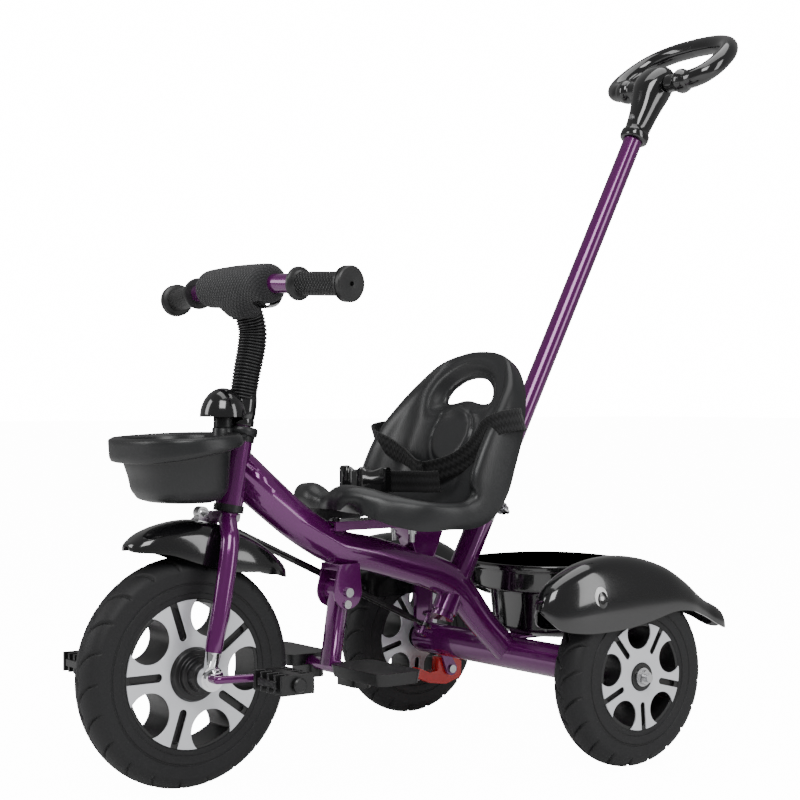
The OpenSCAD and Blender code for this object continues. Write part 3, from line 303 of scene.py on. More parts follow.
def map_uv(bm, u, v):
    """UVs from two layers of the vertices that run 0 to 1, closed over the seam."""
    uv = bm.loops.layers.uv.new("UVMap")
    for face in bm.faces:
        row = np.array([[loop.vert[u], loop.vert[v]] for loop in face.loops])
        for k in (0, 1):
            if np.ptp(row[:, k]) > 0.5:
                row[row[:, k] < 0.5, k] += 1
        for loop, place in zip(face.loops, row):
            loop[uv].uv = place


def loft(name, rings, mat, body, loop=False, angle=40):
    """A closed surface through rings of points in mm; U runs round each ring and V from ring to ring."""
    rings = world(rings)
    bm = bmesh.new()
    u, v = bm.verts.layers.float.new("u"), bm.verts.layers.float.new("v")
    edges = []
    for i, ring in enumerate(rings):
        verts = bmesh.ops.create_circle(bm, segments=len(ring), radius=0.01)["verts"]
        for k, (vert, place) in enumerate(zip(verts, ring)):
            vert.co = place
            vert[u], vert[v] = k / len(ring), i / len(rings)
        edges.append(list({e for vert in verts for e in vert.link_edges}))
    for i in range(len(rings) if loop else len(rings) - 1):
        bmesh.ops.bridge_loops(bm, edges=edges[i] + edges[(i + 1) % len(rings)])
    if not loop:
        for end in (edges[0], edges[-1]):
            bmesh.ops.edgeloop_fill(bm, edges=end)
    map_uv(bm, u, v)
    return piece(name, bm, mat, body, angle)


def turned(name, rows, mat, body, at=(0, 0, 0), along=(1, 0, 0), steps=96, closed=False, angle=40,
           carve=None):
    """A spun piece: rows are [radius, place along the axis] in mm; the axis runs through at."""
    bm = bmesh.new()
    u, v = bm.verts.layers.float.new("u"), bm.verts.layers.float.new("v")
    verts = [bm.verts.new((r / 1000, 0, h / 1000)) for r, h in rows]
    for k, vert in enumerate(verts):
        vert[v] = k / len(verts)
    edges = [bm.edges.new(pair) for pair in zip(verts, verts[1:])]
    if closed:
        edges.append(bm.edges.new((verts[-1], verts[0])))
    bmesh.ops.spin(bm, geom=verts + edges, cent=(0, 0, 0), axis=(0, 0, 1), angle=2 * math.pi, steps=steps,
                   use_merge=True)
    if not closed:
        for radius, height in (rows[0], rows[-1]):
            if radius > 0:
                rim = [e for e in bm.edges if e.is_boundary
                       and all(abs(x.co.z * 1000 - height) < 0.01 for x in e.verts)]
                bmesh.ops.edgeloop_fill(bm, edges=rim)
    bmesh.ops.remove_doubles(bm, verts=bm.verts, dist=1e-7)
    if carve:
        carve(bm)
    for vert in bm.verts:
        vert[u] = (math.atan2(vert.co.y, vert.co.x) / (2 * math.pi)) % 1
    map_uv(bm, u, v)
    turn = Vector(along).to_track_quat("Z", "X").to_matrix().to_4x4()
    bmesh.ops.transform(bm, matrix=Matrix.Translation(Vector(world(at))) @ turn, verts=bm.verts)
    return piece(name, bm, mat, body, angle)


def hoops(path, ref=(1, 0, 0), n=32):
    """Oval rings across a path of rows [x, y, z, radius in plane, radius across]."""
    p = np.array(path, float)
    t = unit(np.gradient(p[:, :3], axis=0))
    a = unit(np.cross(np.array(ref, float), t))
    b = np.cross(t, a)
    q = np.linspace(0, 2 * math.pi, n, endpoint=False)
    in_plane = a[:, None] * (p[:, 3:4] * np.cos(q))[..., None]
    across = b[:, None] * (p[:, 4:5] * np.sin(q))[..., None]
    return p[:, None, :3] + in_plane + across


def unit(v):
    return v / np.linalg.norm(v, axis=-1, keepdims=True)


def finished(name, mat, bevel=0.0, angle=35, shape=None):
    """A CAD node's own shape, welded, softly bevelled and smoothly shaded; shape may move its points."""
    src = NODES[name]
    bm = bmesh.new()
    bm.from_mesh(src.data)
    bmesh.ops.remove_doubles(bm, verts=bm.verts, dist=2e-5)
    if not shape:
        bmesh.ops.dissolve_limit(bm, angle_limit=math.radians(1), verts=bm.verts, edges=bm.edges)
    if shape:
        for vert in bm.verts:
            vert.co = shape(*vert.co)
    obj = piece(name + "_look", bm, mat, src["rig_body"], angle)
    if bevel:
        b = obj.modifiers.new("edges", "BEVEL")
        b.width, b.segments, b.limit_method, b.angle_limit = bevel, 2, "ANGLE", math.radians(angle)
    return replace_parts(obj, name)


def outline(yc, z, a, b, p=2.4, n=128, tilt=0.0):
    """A rounded box outline at a height: half widths a and b, corner power p, rising with y by tilt."""
    q = np.linspace(0, 2 * math.pi, n, endpoint=False)
    c, s = np.cos(q), np.sin(q)
    y = b * np.sign(s) * np.abs(s) ** (2 / p)
    return np.stack([a * np.sign(c) * np.abs(c) ** (2 / p), yc + y, z + tilt * y], -1)


def softened(rings, dist):
    """The listed rings, each inner one split in two pairs so that its corner is small and round."""
    r = np.array(rings, float)
    out = [r[0]]
    for i in range(1, len(r) - 1):
        for j, parts in ((i - 1, (1, 0.35)), (i + 1, (0.35, 1))):
            d = r[j] - r[i]
            step = d * np.minimum(0.45, dist / np.maximum(np.linalg.norm(d, axis=-1, keepdims=True), 1e-6))
            out += [r[i] + step * part for part in parts]
    return np.array(out + [r[-1]])


# ---------------------------------------------------------------- materials of every CAD node
SLOTS = {
    "paint": "head_tube main_tube rear_cross_tube pole_socket seat_rail footrest_bracket fork stem handlebar "
             "crank footrest_leg push_pole pole_crank",
    "tyre": "front_tyre rear_tyre_left rear_tyre_right",
    "wheel_black": "front_rim rear_rim_left rear_rim_right front_hub pedal_left pedal_right headset_cups "
                   "footrest_pads rear_bearing_left rear_bearing_right",
    "wheel_cover": "front_covers rear_covers_left rear_covers_right",
    "bearing": "rear_axle axle_nuts footrest_bolts seat_bolts brake_pins fender_bracket neck_screws "
               "pole_collar",
    "chrome": "axle_cups",
    "shell": "seat front_basket",
    "gloss_black": "rear_bucket rear_fender_left rear_fender_right front_fender stem_cowl handle_neck "
                   "push_handle buckle_socket buckle_tongue",
    "webbing": "shoulder_straps waist_strap",
    "pad_cloth": "bar_pad",
    "grip": "grip_left grip_right stem_bellows",
    "brake_red": "brake_lever_left brake_lever_right",
    "link": "steering_link",
}
SLOT_OF = {node: slot for slot, nodes in SLOTS.items() for node in nodes.split()}
for node, obj in NODES.items():
    obj.data.materials.clear()
    obj.data.materials.append(MAT[SLOT_OF[node]])

# Nodes that keep their CAD shape, with the width of the soft edge that each gets
KEPT = {
    "front_rim": 0.0006, "front_covers": 0.0004, "rear_covers_left": 0.0004, "rear_covers_right": 0.0004,
    "rear_rim_left": 0.0006, "rear_rim_right": 0.0006, "footrest_pads": 0.0025, "pedal_left": 0.0012,
    "pedal_right": 0.0012, "brake_lever_left": 0.002, "brake_lever_right": 0.002, "front_hub": 0.0012,
    "seat_rail": 0.0008, "footrest_bracket": 0.0006}
# Turned or swept nodes, which need no soft edge
ROUND = ("head_tube main_tube rear_cross_tube pole_socket fork stem handlebar crank footrest_leg push_pole "
         "pole_crank headset_cups axle_cups steering_link pole_collar rear_bearing_left rear_bearing_right")
for node in ROUND.split():
    KEPT[node] = 0.0
for node, soft in KEPT.items():
    finished(node, SLOT_OF[node], soft)


def wider_neck(x, y, z):
    """The neck's paddle, deepened below the hinge, and more at the front than at the back."""
    deepest, spread, most = -14, 26, 0.34
    front_share, back_share, core_r = 1.3, 0.5, 8
    spot = np.array([x, y, z]) * 1000
    origin, axis = world(pole(0, 0, 0)) * 1000, unit(np.array(pole(0, 0, 1)) - np.array(pole(0, 0, 0)))
    along = float(np.dot(spot - origin, axis)) - HANDLE_AT
    off = spot - origin - axis * (along + HANDLE_AT)
    grow = most * math.exp(-((along - deepest) / spread) ** 2) if np.linalg.norm(off) > core_r else 0
    off[1:] *= 1 + grow * (front_share if off[1] < 0 else back_share)
    return Vector((origin + axis * (along + HANDLE_AT) + off) / 1000)


finished("handle_neck", "gloss_black", shape=wider_neck)
for side, body in ((1, "left_pedal"), (-1, "right_pedal")):
    cap = [[0, 151.5], [8, 151.5], [8, 155], [6.5, 156.5], [0, 156.5]]
    turned(body + "_cap", cap, "wheel_black", body, (0, side * 55, FRONT_R), (side, 0, 0), 48)


def link_strip():
    """A flat strip along the steering link's rod, higher than it is wide, with its ends drawn in."""
    front, rear = steer(-33, 24, LINK_Z), pole(-33, -8, EYE_Z)
    half_wide, half_high, end_high = 1.4, 4.6, 2
    rings = []
    for share, high in ((0, end_high), (0.05, half_high), (0.94, half_high), (1, end_high)):
        middle = front + (rear - front) * share
        rings.append([middle + np.array([sx * half_wide, 0, 0]) + np.array([0, 0, sz * high])
                      for sx, sz in ((-1, -1), (1, -1), (1, 1), (-1, 1))])
    loft("link_strip", rings, "link", "link")


link_strip()


# ---------------------------------------------------------------- tyres
def tyre(name, centre, r, w, ri, body, grooves):
    """Foam tyre: stepped sidewalls, a thin middle groove, and curved slanting grooves over both shoulders."""
    h = w / 2
    c = 16
    side = [[ri + 0.2, h - 1.4], [ri + 6, h - 1.2], [ri + 6.6, h - 0.2], [ri + 15.5, h], [ri + 16.3, h - 0.9],
            [ri + 17.6, h - 0.9], [ri + 18.4, h - 0.1], [r - 16, h]]
    crown = [[r - c + c * math.sin(math.radians(a)), h * math.cos(math.radians(a))] for a in range(4, 177, 4)]
    rows = side + crown + [[p[0], -p[1]] for p in side[::-1]]

    def carve(bm):
        co = np.array([vert.co for vert in bm.verts]) * 1000
        rad, x, q = np.hypot(co[:, 0], co[:, 1]), co[:, 2], np.arctan2(co[:, 1], co[:, 0])
        cut = np.clip(1.2 - np.abs(x), 0, 1) * 0.6
        for s in (-1, 1):
            t = np.clip((h - s * x) / h, 0, 1)
            depth = np.clip((rad - (r - 15)) / 5, 0, 1) * np.clip((s * x + 2) / 3, 0, 1)
            pitch = 2 * math.pi / grooves
            off = (q - 0.16 * t ** 1.6 - 0.25 * (s + 1) * pitch + pitch / 2) % pitch - pitch / 2
            cut = np.maximum(cut, depth * np.clip(1.5 - np.abs(off) * r / 1.6, 0, 1))
        keep = 1 - 2.6 * cut / rad
        for vert, k in zip(bm.verts, keep):
            vert.co.x *= k
            vert.co.y *= k

    obj = turned(name + "_look", rows, "tyre", body, centre, steps=600, closed=True, angle=38, carve=carve)
    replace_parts(obj, name)


tyre("front_tyre", (0, 0, FRONT_R), FRONT_R, 47, 84, "front_wheel", 22)
tyre("rear_tyre_left", (HALF_TRACK, WB, REAR_R), REAR_R, 44, 63.5, "rear_wheel_left", 20)
tyre("rear_tyre_right", (-HALF_TRACK, WB, REAR_R), REAR_R, 44, 63.5, "rear_wheel_right", 20)


# ---------------------------------------------------------------- seat
def seat():
    """Bucket seat: rolled rims, nose with two lobes, round boss and a hand hole with a rolled edge."""
    # rows up the middle: [y, height over the pan, width share, rim rise, thickness, nose share]
    line = [
        [184, 8, 0.34, 1, 2, 1], [185, 19, 0.47, 8, 8, 1], [194, 24, 0.57, 13, 18, 1],
        [210, 21, 0.69, 14, 22, 0.85], [230, 12, 0.81, 15, 22, 0.45], [256, 4, 0.94, 15, 20, 0.1],
        [290, 0, 1, 15, 15, 0], [322, 0, 1, 18, 15, 0], [345, 9, 1, 28, 15, 0], [361, 32, 1, 38, 17, 0],
        [372, 62, 0.99, 36, 18, 0], [386, 95, 0.96, 30, 18, 0], [398, 0.63 * BACK_H, 0.90, 20, 17, 0],
        [410, 0.77 * BACK_H, 0.80, 11, 16, 0], [421, 0.90 * BACK_H, 0.62, 5, 14, 0],
        [427, 0.965 * BACK_H, 0.45, 0, 9, 0], [430, 0.995 * BACK_H, 0.27, -3, 4, 0],
        [431, 1.004 * BACK_H, 0.12, -4, 1.5, 0]]
    path = curve([[0, p[0], SEAT_Z + p[1], p[2] * SW, p[3], p[4], p[5]] for p in line], 13)
    # half sections: [across, share of the rim, share of the thickness, offset], then the nose's own
    # [across, share of the rim]
    top = [[0, 0, 0, 0, 0, 0], [0.12, 0.0, 0, 0, 0.06, 0.1], [0.24, 0.0, 0, 0, 0.12, 0.22],
           [0.35, 0.01, 0, 0, 0.18, 0.35], [0.62, 0.12, 0, 0, 0.36, 0.85], [0.78, 0.5, 0, 0, 0.5, 1],
           [0.86, 0.88, 0, 0, 0.66, 0.95], [0.92, 1, 0, 1, 0.82, 0.75], [0.975, 0.9, 0, 0, 0.94, 0.4],
           [1, 0.55, 0, -1, 1, 0], [1, 0, 0.4, 0, 1, -0.2], [0.985, 0, 1, 0, 0.97, 0]]
    low = [[0.945, 0, 1, 0, 0.92, 0], [0.94, 0.2, 0.3, -2, 0.9, 0], [0.9, 0.75, 0, -5, 0.8, 0.4],
           [0.84, 0.55, 0, -6, 0.66, 0.6], [0.74, 0.2, 0, -6, 0.5, 0.6], [0.5, 0, 0, -6, 0.25, 0.2],
           [0, 0, 0, -6, 0, 0]]
    upper = curve(top, 6)
    under = curve(low, 4)
    half = np.concatenate([upper, under])
    nrm = np.cross(np.array([1.0, 0, 0]), unit(np.gradient(path[:, :3], axis=0)))
    rings = []
    for i, p in enumerate(path):
        q = p[6]
        x = (half[:, 0] * (1 - q) + half[:, 4] * q) * p[3]
        h = (half[:, 1] * (1 - q) + half[:, 5] * q) * p[4] - half[:, 2] * p[5] + half[:, 3]
        xs = np.concatenate([-x[len(upper) - 1:0:-1], x, -x[-2:len(upper) - 1:-1]])
        hs = np.concatenate([h[len(upper) - 1:0:-1], h, h[-2:len(upper) - 1:-1]])
        z = p[2]
        if z > SEAT_Z + 45:
            # the hand hole's rolled edge, then the boss with a groove round it, and a wider swell
            gap = np.maximum(hole_gap(xs, np.full_like(xs, z)), 0)
            funnel = 3.0 * np.exp(-((gap - 15) / 6) ** 2) - 7.5 * np.exp(-(gap / 7.5) ** 2)
            fade = np.minimum(1, 4 * np.clip(1.25 - np.abs(xs) / (0.86 * p[3]), 0, 1))
            off = np.hypot(xs, (z - 392) * 1.02) - 35
            boss = 2.6 / (1 + np.exp(np.clip(off / 1.2, -30, 30))) - 2.2 * np.exp(-((off - 2.2) / 1.5) ** 2)
            wide = 2.2 / (1 + np.exp(np.clip((off - 9) / 1.8, -30, 30)))
            hs = hs + (funnel + boss + wide) * fade
        rings.append(p[:3] + np.outer(xs, [1, 0, 0]) + np.outer(hs, nrm[i]))
    obj = loft("seat_look", rings, "shell", "frame", angle=60)
    # the hand hole is cut through along the back's own normal
    hole_z, hole_y, slant, reach = 448.5, 407.5, math.radians(24), 30
    shape = []
    for a in np.linspace(0, 2 * math.pi, 72, endpoint=False):
        r = 0.0
        while r < 70 and hole_gap(np.array([r * math.cos(a)]), np.array([hole_z + r * math.sin(a)]))[0] < 0:
            r += 0.25
        shape.append((r * math.cos(a), r * math.sin(a)))
    cut = []
    for depth in (-reach, reach):
        cut.append([[x, hole_y + z * math.sin(slant) + depth * math.cos(slant),
                     hole_z + z * math.cos(slant) - depth * math.sin(slant)] for x, z in shape])
    tool = loft("seat_hole", cut, "shell", "frame")
    b = obj.modifiers.new("hole", "BOOLEAN")
    b.operation, b.object, b.solver = "DIFFERENCE", tool, "EXACT"
    dg = bpy.context.evaluated_depsgraph_get()
    mesh = bpy.data.meshes.new_from_object(obj.evaluated_get(dg))
    obj.modifiers.clear()
    obj.data = mesh
    bpy.data.objects.remove(tool)
    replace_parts(obj, "seat")


def hole_gap(x, z):
    """Distance from the hand hole's edge, seen from the front: an oval cut off by a line and by the boss."""
    half_wide, half_high, middle = 47, 33, 437
    floor, boss_z, boss_r, soft = 432, 393, 43, 3.0
    oval = (np.hypot(x / half_wide, (z - middle) / half_high) - 1) * 38
    below, boss = floor - z, boss_r - np.hypot(x, z - boss_z)
    return soft * np.log(np.exp(oval / soft) + np.exp(below / soft) + np.exp(boss / soft))


seat()


# ---------------------------------------------------------------- straps
def ribbon(name, pts, ref, width=27.0, thick=2.0, n=14, replaces=()):
    """Flat webbing along a smooth line, its width across ref."""
    p = curve(pts, n)
    t = unit(np.gradient(p, axis=0))
    ref = curve(ref, n) if np.ndim(ref) > 1 else np.tile(np.array(ref, float), (len(p), 1))
    wide = unit(ref - t * (ref * t).sum(1)[:, None])
    nrm = np.cross(wide, t)
    face = [(a, 0.5 if abs(a) < 1 else 0.175) for a in (-1, -0.97, -0.5, 0, 0.5, 0.97, 1)]
    ring = face + [(a, -b) for a, b in face[::-1]]
    rings = [p[i] + np.array([wide[i] * a * width / 2 + nrm[i] * b * thick for a, b in ring])
             for i in range(len(p))]
    obj = loft(name, rings, "webbing", "frame", angle=50)
    if replaces:
        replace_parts(obj, *replaces)
    return obj


UP = (0, -0.35, 1)
LEVEL = (0, -0.15, 1)
ribbon("strap_left", [[62, 414, 402], [100, 411, 409], [122, 396, 412], [127, 376, 411], [118, 361, 407],
                      [104, 357, 399], [86, 362, 386], [64, 366, 372], [40, 361, 358], [14, 351, 349],
                      [-8, 343, 345]], UP, replaces=("shoulder_straps",))
ribbon("strap_right", [[-62, 408, 388], [-98, 404, 393], [-120, 386, 395], [-126, 364, 393], [-120, 350, 389],
                       [-104, 346, 382], [-80, 352, 372], [-56, 354, 362], [-34, 349, 354], [-16, 343, 349],
                       [-2, 340, 347]], UP)
ribbon("strap_waist", [[30, 341, 335], [16, 334, 334], [2, 326, 334], [-10, 316, 334], [-22, 305, 334],
                       [-33, 297, 335]], LEVEL, replaces=("waist_strap",))
ribbon("strap_waist_far", [[-54, 286, 334], [-68, 285, 334], [-82, 292, 334], [-92, 306, 333],
                           [-98, 322, 332]], LEVEL)


def buckle(name, rows, node=None):
    """A flat moulded piece across the strap: rows are [along the strap, half height, front, back] in mm."""
    turn = math.radians(16)
    corners = ((-0.86, 0), (-1, 0.25), (-1, 0.75), (-0.86, 1), (0.86, 1), (1, 0.75), (1, 0.25), (0.86, 0))
    rings = []
    for along, high, front, back in rows:
        ring = []
        for c, w in corners:
            y = front + (back - front) * w
            ring.append([BUCKLE[0] + along * math.cos(turn) - y * math.sin(turn),
                         BUCKLE[1] + along * math.sin(turn) + y * math.cos(turn), BUCKLE[2] + c * high])
        rings.append(ring)
    obj = loft(name, rings, "gloss_black", "frame", angle=50)
    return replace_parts(obj, node) if node else obj


buckle("buckle_socket_look", [[20, 15.5, -7, 4], [17, 16, -8, 4], [12, 15.6, -8, 4], [6, 13.5, -8, 4],
                              [0, 11.5, -8.5, 4], [-6, 11, -8.5, 4], [-11, 12.5, -8, 4], [-15, 15, -7.5, 4],
                              [-18, 16, -6.5, 3]], "buckle_socket")
buckle("buckle_tongue_look", [[-19.5, 14.5, -6, 2], [-22, 15.8, -7, 3], [-26, 13, -7, 3],
                              [-30, 10.5, -6.5, 3], [-34, 11.5, -6, 2], [-37, 14, -6, 2],
                              [-40, 15.5, -5.5, 2.5]], "buckle_tongue")
buckle("buckle_rib", [[18, 4, -8.6, -7], [10, 5, -9.6, -7], [-4, 4, -10, -8], [-14, 6, -9, -7]])
buckle("strap_block", [[-43, 16.5, -4, 3], [-46, 17, -6, 5], [-50, 17, -7, 6], [-54, 16.5, -6, 5]])


# ---------------------------------------------------------------- handlebar: grips, pad, sleeve, cowl
def grip(side, node):
    """Rubber grip in three pieces: inner flange, studded barrel, double outer flange with a vented end."""
    flip = np.array([side, 1, 1])
    way, knee = (bar_end(160) - bar_end(60)) * flip, bar_end(60) * flip
    per_mm = float(np.linalg.norm(way)) / 100
    a0, a1 = 50 * per_mm, 130 * per_mm
    inner = [[11.05, a0 - 2.4], [17.6, a0 - 2.4], [18.9, a0 - 1.4], [18.9, a0 + 1.6], [18, a0 + 2.6],
             [15, a0 + 4], [13.6, a0 + 7]]
    barrel = [[13.3, at] for at in np.linspace(a0 + 6.5, a1 - 8.2, 40)]
    outer = [[13.4, a1 - 8.8], [19.2, a1 - 7.6], [19.8, a1 - 7], [19.8, a1 - 4.6], [18.2, a1 - 4.2],
             [18.2, a1 - 3.4], [19.9, a1 - 3], [19.9, a1 + 1.2], [18.6, a1 + 2.8], [6, a1 + 2.8],
             [2.8, a1 + 2.4], [2.4, a1 - 2]]
    pieces = (("inner", inner, "grip"), ("barrel", barrel, "grip_nubs"), ("outer", outer, "grip"))
    for part, rows, mat in pieces:
        obj = turned(f"{node}_{part}", rows, mat, "front_end", knee, way, 64, angle=35)
        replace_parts(obj, node)


grip(1, "grip_left")
grip(-1, "grip_right")


def pad():
    """Fat foam sleeve round the bar, drawn down to a leg round the stem, with a buckled band under it."""
    end = [[12.3 + 10.2 * math.cos(math.radians(q)), 12 * math.sin(math.radians(q))] for q in range(0, 91, 9)]
    middle = [[22.5 + 1.6 * math.cos(x / 40), x] for x in np.linspace(-57, 57, 76)]
    rows = [[r, -60 - h] for r, h in end[::-1]] + middle + [[r, 60 + h] for r, h in end]

    def draw_down(bm):
        for vert in bm.verts:
            x, y, z = vert.co.z * 1000, vert.co.y * 1000, vert.co.x * 1000
            pull = math.exp(-(abs(x) / 26) ** 2.6) * max(0, min(1, -z / 22)) ** 1.3
            vert.co.x -= 0.014 * pull
            vert.co.y = (y * (1 - 0.12 * pull)) / 1000

    obj = turned("bar_pad_look", rows, "pad_cloth", "front_end", (0, BAR_Y, BAR_Z), angle=70, carve=draw_down)
    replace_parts(obj, "bar_pad")
    leg = [[0, BAR_Y + 8.5 - k * 0.9, BAR_Z - 36 + k * 6, 16.4 + 0.5 * k, 16.6 + 1.5 * k] for k in range(6)]
    leg = [[0, BAR_Y + 8.6, BAR_Z - 37, 14.5, 14.5]] + leg
    loft("bar_pad_leg", hoops(leg, n=64), "pad_cloth", "front_end", angle=70)
    band = curve([[52, -10, -20], [50, 2, -25], [50, 14, -21], [52, 20, -9]], 8)
    corners = ((-8, 1), (8, 1), (8, 1.1), (-8, 1.1))
    rings = [[[p[0] + a, BAR_Y + p[1] * b, BAR_Z + p[2] * b] for a, b in corners] for p in band]
    loft("pad_band", rings, "gloss_black", "front_end")


pad()

STEM = curve([[0, 77, 436], [0, 83, 468], [0, 88.5, 493], [0, 90.5, 513], [0, 87, 530], [0, 80, 549]], 24)


def bellows():
    """Ribbed sleeve round the stem, a little fatter in its upper half."""
    p = STEM
    s = np.concatenate([[0], np.cumsum(np.linalg.norm(np.diff(p, axis=0), axis=1))])
    ribs, per = 30, 10
    at = np.linspace(0, s[-1] - 4, ribs * per + 1)
    c = np.stack([np.interp(at, s, p[:, k]) for k in range(3)], -1)
    share = np.linspace(0, 1, len(at))
    r = 13.3 + 1.4 * np.sin(0.7 * math.pi * share) + 2.2 * np.abs(np.sin(math.pi * ribs * share)) ** 0.7
    rings = hoops(np.column_stack([c, r, r]), n=64)
    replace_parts(loft("bellows_look", rings, "grip", "front_end", angle=80), "stem_bellows")


bellows()


def cowl():
    """Half dome visor over the basket's post, and a barrel round the steerer."""
    outer = [[26.5 * math.cos(q), 33 * math.sin(q)] for q in np.radians(np.linspace(0, 88, 24))]
    inner = [[24.3 * math.cos(q), 30.6 * math.sin(q)] for q in np.radians(np.linspace(88, 0, 16))]
    rows = outer + [[0, 33], [0, 30.6]] + inner
    visor = turned("cowl_visor", rows, "gloss_black", "front_end", (0, 51, 416), (0, 0, 1), 72, closed=True,
                   angle=50)
    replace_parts(visor, "stem_cowl")
    rows = curve([[14.2, 280.2], [14.4, 281], [14.4, 286.5], [13.8, 287.5], [14.6, 294], [14.4, 304],
                  [13.8, 312], [12.8, 317], [12.4, 322], [12.4, 331], [11.2, 332]], 3)
    turned("cowl_barrel", rows, "gloss_black", "front_end", steer(0, 0, 0), STEER_AXIS, 64, angle=50)


cowl()


# ---------------------------------------------------------------- baskets
def front_basket():
    bz, by, a, b = 396.0, -12.0, 88.0, 0.74 * 88
    rings = [
        outline(by + 6, bz - 75, a - 46, b - 34), outline(by + 6, bz - 72, a - 35, b - 24),
        outline(by + 6, bz - 62, a - 27, b - 17),
        outline(by + 5, bz - 44, a - 23, b - 15, tilt=0.05),
        outline(by + 3, bz - 28, a - 20, b - 13, tilt=0.14),
        outline(by + 3, bz - 20, a - 18, b - 12, tilt=0.18),
        outline(by + 2, bz - 20, a - 3, b - 2, tilt=0.18), outline(by + 2, bz - 16, a, b, tilt=0.16),
        outline(by, bz - 3, a - 2, b, tilt=0.05), outline(by + 1, bz, a - 6, b - 4, tilt=0.05),
        outline(by + 2, bz - 3, a - 12, b - 10, tilt=0.05), outline(by + 3, bz - 26, a - 22, b - 16),
        outline(by + 6, bz - 66, a - 32, b - 21), outline(by + 6, bz - 71, a - 41, b - 29)]
    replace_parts(loft("basket_look", softened(rings, 5), "shell", "front_end", angle=60), "front_basket")
    ring = [[11.3, 268.6], [18.8, 268.6], [20, 269.8], [20, 277], [18.6, 278.5], [11.3, 278.5]]
    turned("basket_collar", ring, "shell", "front_end", steer(0, 0, 0), STEER_AXIS, 96, closed=True, angle=50)
    q = np.linspace(0, 2 * math.pi, 96, endpoint=False)
    back = (np.sin(q) + 1) / 2
    deck = [np.stack([(46 - 26 * back) * np.cos(q) * k, 37.2 + 42 * back, z + 2.4 * back], -1)
            for z, k in ((386.5, 0.96), (388, 1.0), (392.5, 1.0), (394.5, 0.95))]
    loft("basket_deck", deck, "shell", "front_end", angle=50)
    post = [[13.5, 393], [12.6, 396], [12.4, 402.6], [11.8, 403.6], [11, 404.2], [11, 424], [10, 426]]
    turned("basket_post", post, "shell", "front_end", (0, 51, 0), (0, 0, 1), 64)


front_basket()


def rear_bucket():
    y, low, a, b, top = WB + 65, REAR_R + 23, 105.0, 100.0, 226.0
    step = top - 38
    rings = [
        outline(y + 16, low, a - 30, b - 34), outline(y + 16, low + 7, a - 22, b - 26),
        outline(y + 15, step, a - 18, b - 22),
        outline(y, step + 4, a - 8, b - 7), outline(y, top - 8, a - 5, b - 4), outline(y, top - 8, a - 1, b),
        outline(y, top, a, b), outline(y, top, a - 7, b - 6), outline(y, step + 6, a - 11, b - 10),
        outline(y + 15, step + 2, a - 21, b - 25), outline(y + 16, low + 9, a - 26, b - 30),
        outline(y + 16, low + 4, a - 34, b - 38)]
    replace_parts(loft("bucket_look", softened(rings, 3.5), "gloss_black", "frame", angle=60), "rear_bucket")
    # upright ribs on the lower wall
    foot, head = outline(y + 16, low + 8, a - 21.5, b - 25.5), outline(y + 15, step - 2, a - 17.5, b - 21.5)
    for k in range(16):
        i = 4 + 8 * k
        q = 2 * math.pi * i / 128
        out, side = np.array([math.cos(q), math.sin(q), 0]), np.array([-math.sin(q), math.cos(q), 0])
        half = side * 1.6
        rows = [[p + half - out, p + half + out, p - half + out, p - half - out] for p in (foot[i], head[i])]
        loft(f"bucket_rib_{k}", rows, "gloss_black", "frame")


rear_bucket()


# ---------------------------------------------------------------- fenders
def arch(station, xc, t, n=40):
    """Section of an arched shell: station is [y, lower edge, crown, half width], t its wall."""
    y, lo, hi, w = station
    q = np.radians(np.linspace(-90, 90, n + 1))
    lines = []
    for half, high in ((w, hi - lo), (w - t, hi - lo - t)):
        x = xc + half * np.sign(np.sin(q)) * np.abs(np.sin(q)) ** 0.8
        lines.append(np.stack([x, np.full_like(x, y), lo + high * np.maximum(0, np.cos(q)) ** 0.7], -1))
    return np.concatenate([lines[0], lines[1][::-1]])


def fender(name, line, xc, body, node):
    """A fender's shell through its stations, in its node's place."""
    wall = 2.5
    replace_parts(loft(name, [arch(s, xc, wall) for s in curve(line, 8)], "gloss_black", body, angle=60), node)


# stations along a rear fender: [y from the axle, lower edge, crown, half width], heights over the axle
REAR_LINE = [[-141, 84, 88, 4], [-137, 76, 101, 13], [-124, 64, 116, 21], [-98, 59, 130, 27],
             [-70, 58, 139, 29.5], [-30, 60, 143, 30.5], [10, 66, 139, 30.5], [50, 74, 127, 30],
             [82, 72, 109, 26], [106, 65, 92, 20], [124, 58, 81, 16], [140, 50, 74, 15], [152, 45, 67, 13],
             [159, 44, 58, 9], [161, 46, 52, 5]]
REAR = [[WB + s[0], REAR_R + s[1], REAR_R + s[2], s[3]] for s in REAR_LINE]
fender("fender_left_look", REAR, HALF_TRACK, "frame", "rear_fender_left")
fender("fender_right_look", REAR, -HALF_TRACK, "frame", "rear_fender_right")
FRONT_LINE = [[-72, 140, 147, 8], [-68, 138, 150, 17], [-54, 137, 159, 25], [-30, 134, 167, 30],
              [0, 124, 171, 33], [28, 116, 168, 33.5], [54, 111, 160, 33], [80, 109, 149, 32],
              [104, 105, 134, 28], [123, 100, 118, 19], [132, 101, 107, 7]]
FRONT = [[s[0], s[1] + FRONT_R, s[2] + FRONT_R, s[3]] for s in FRONT_LINE]
fender("fender_front_look", FRONT, 0, "front_end", "front_fender")


def fender_surface(y, z, side):
    """The point on the outer face of a rear fender at a place along it and a height."""
    rows = curve(REAR, 8)
    s = [np.interp(y, rows[:, 0], rows[:, k]) for k in range(4)]
    c = np.clip(((z - s[1]) / (s[2] - s[1])) ** (1 / 0.7), 0, 1)
    x = s[3] * (1 - c * c) ** 0.4
    return np.array([side * (HALF_TRACK + x), y, z])


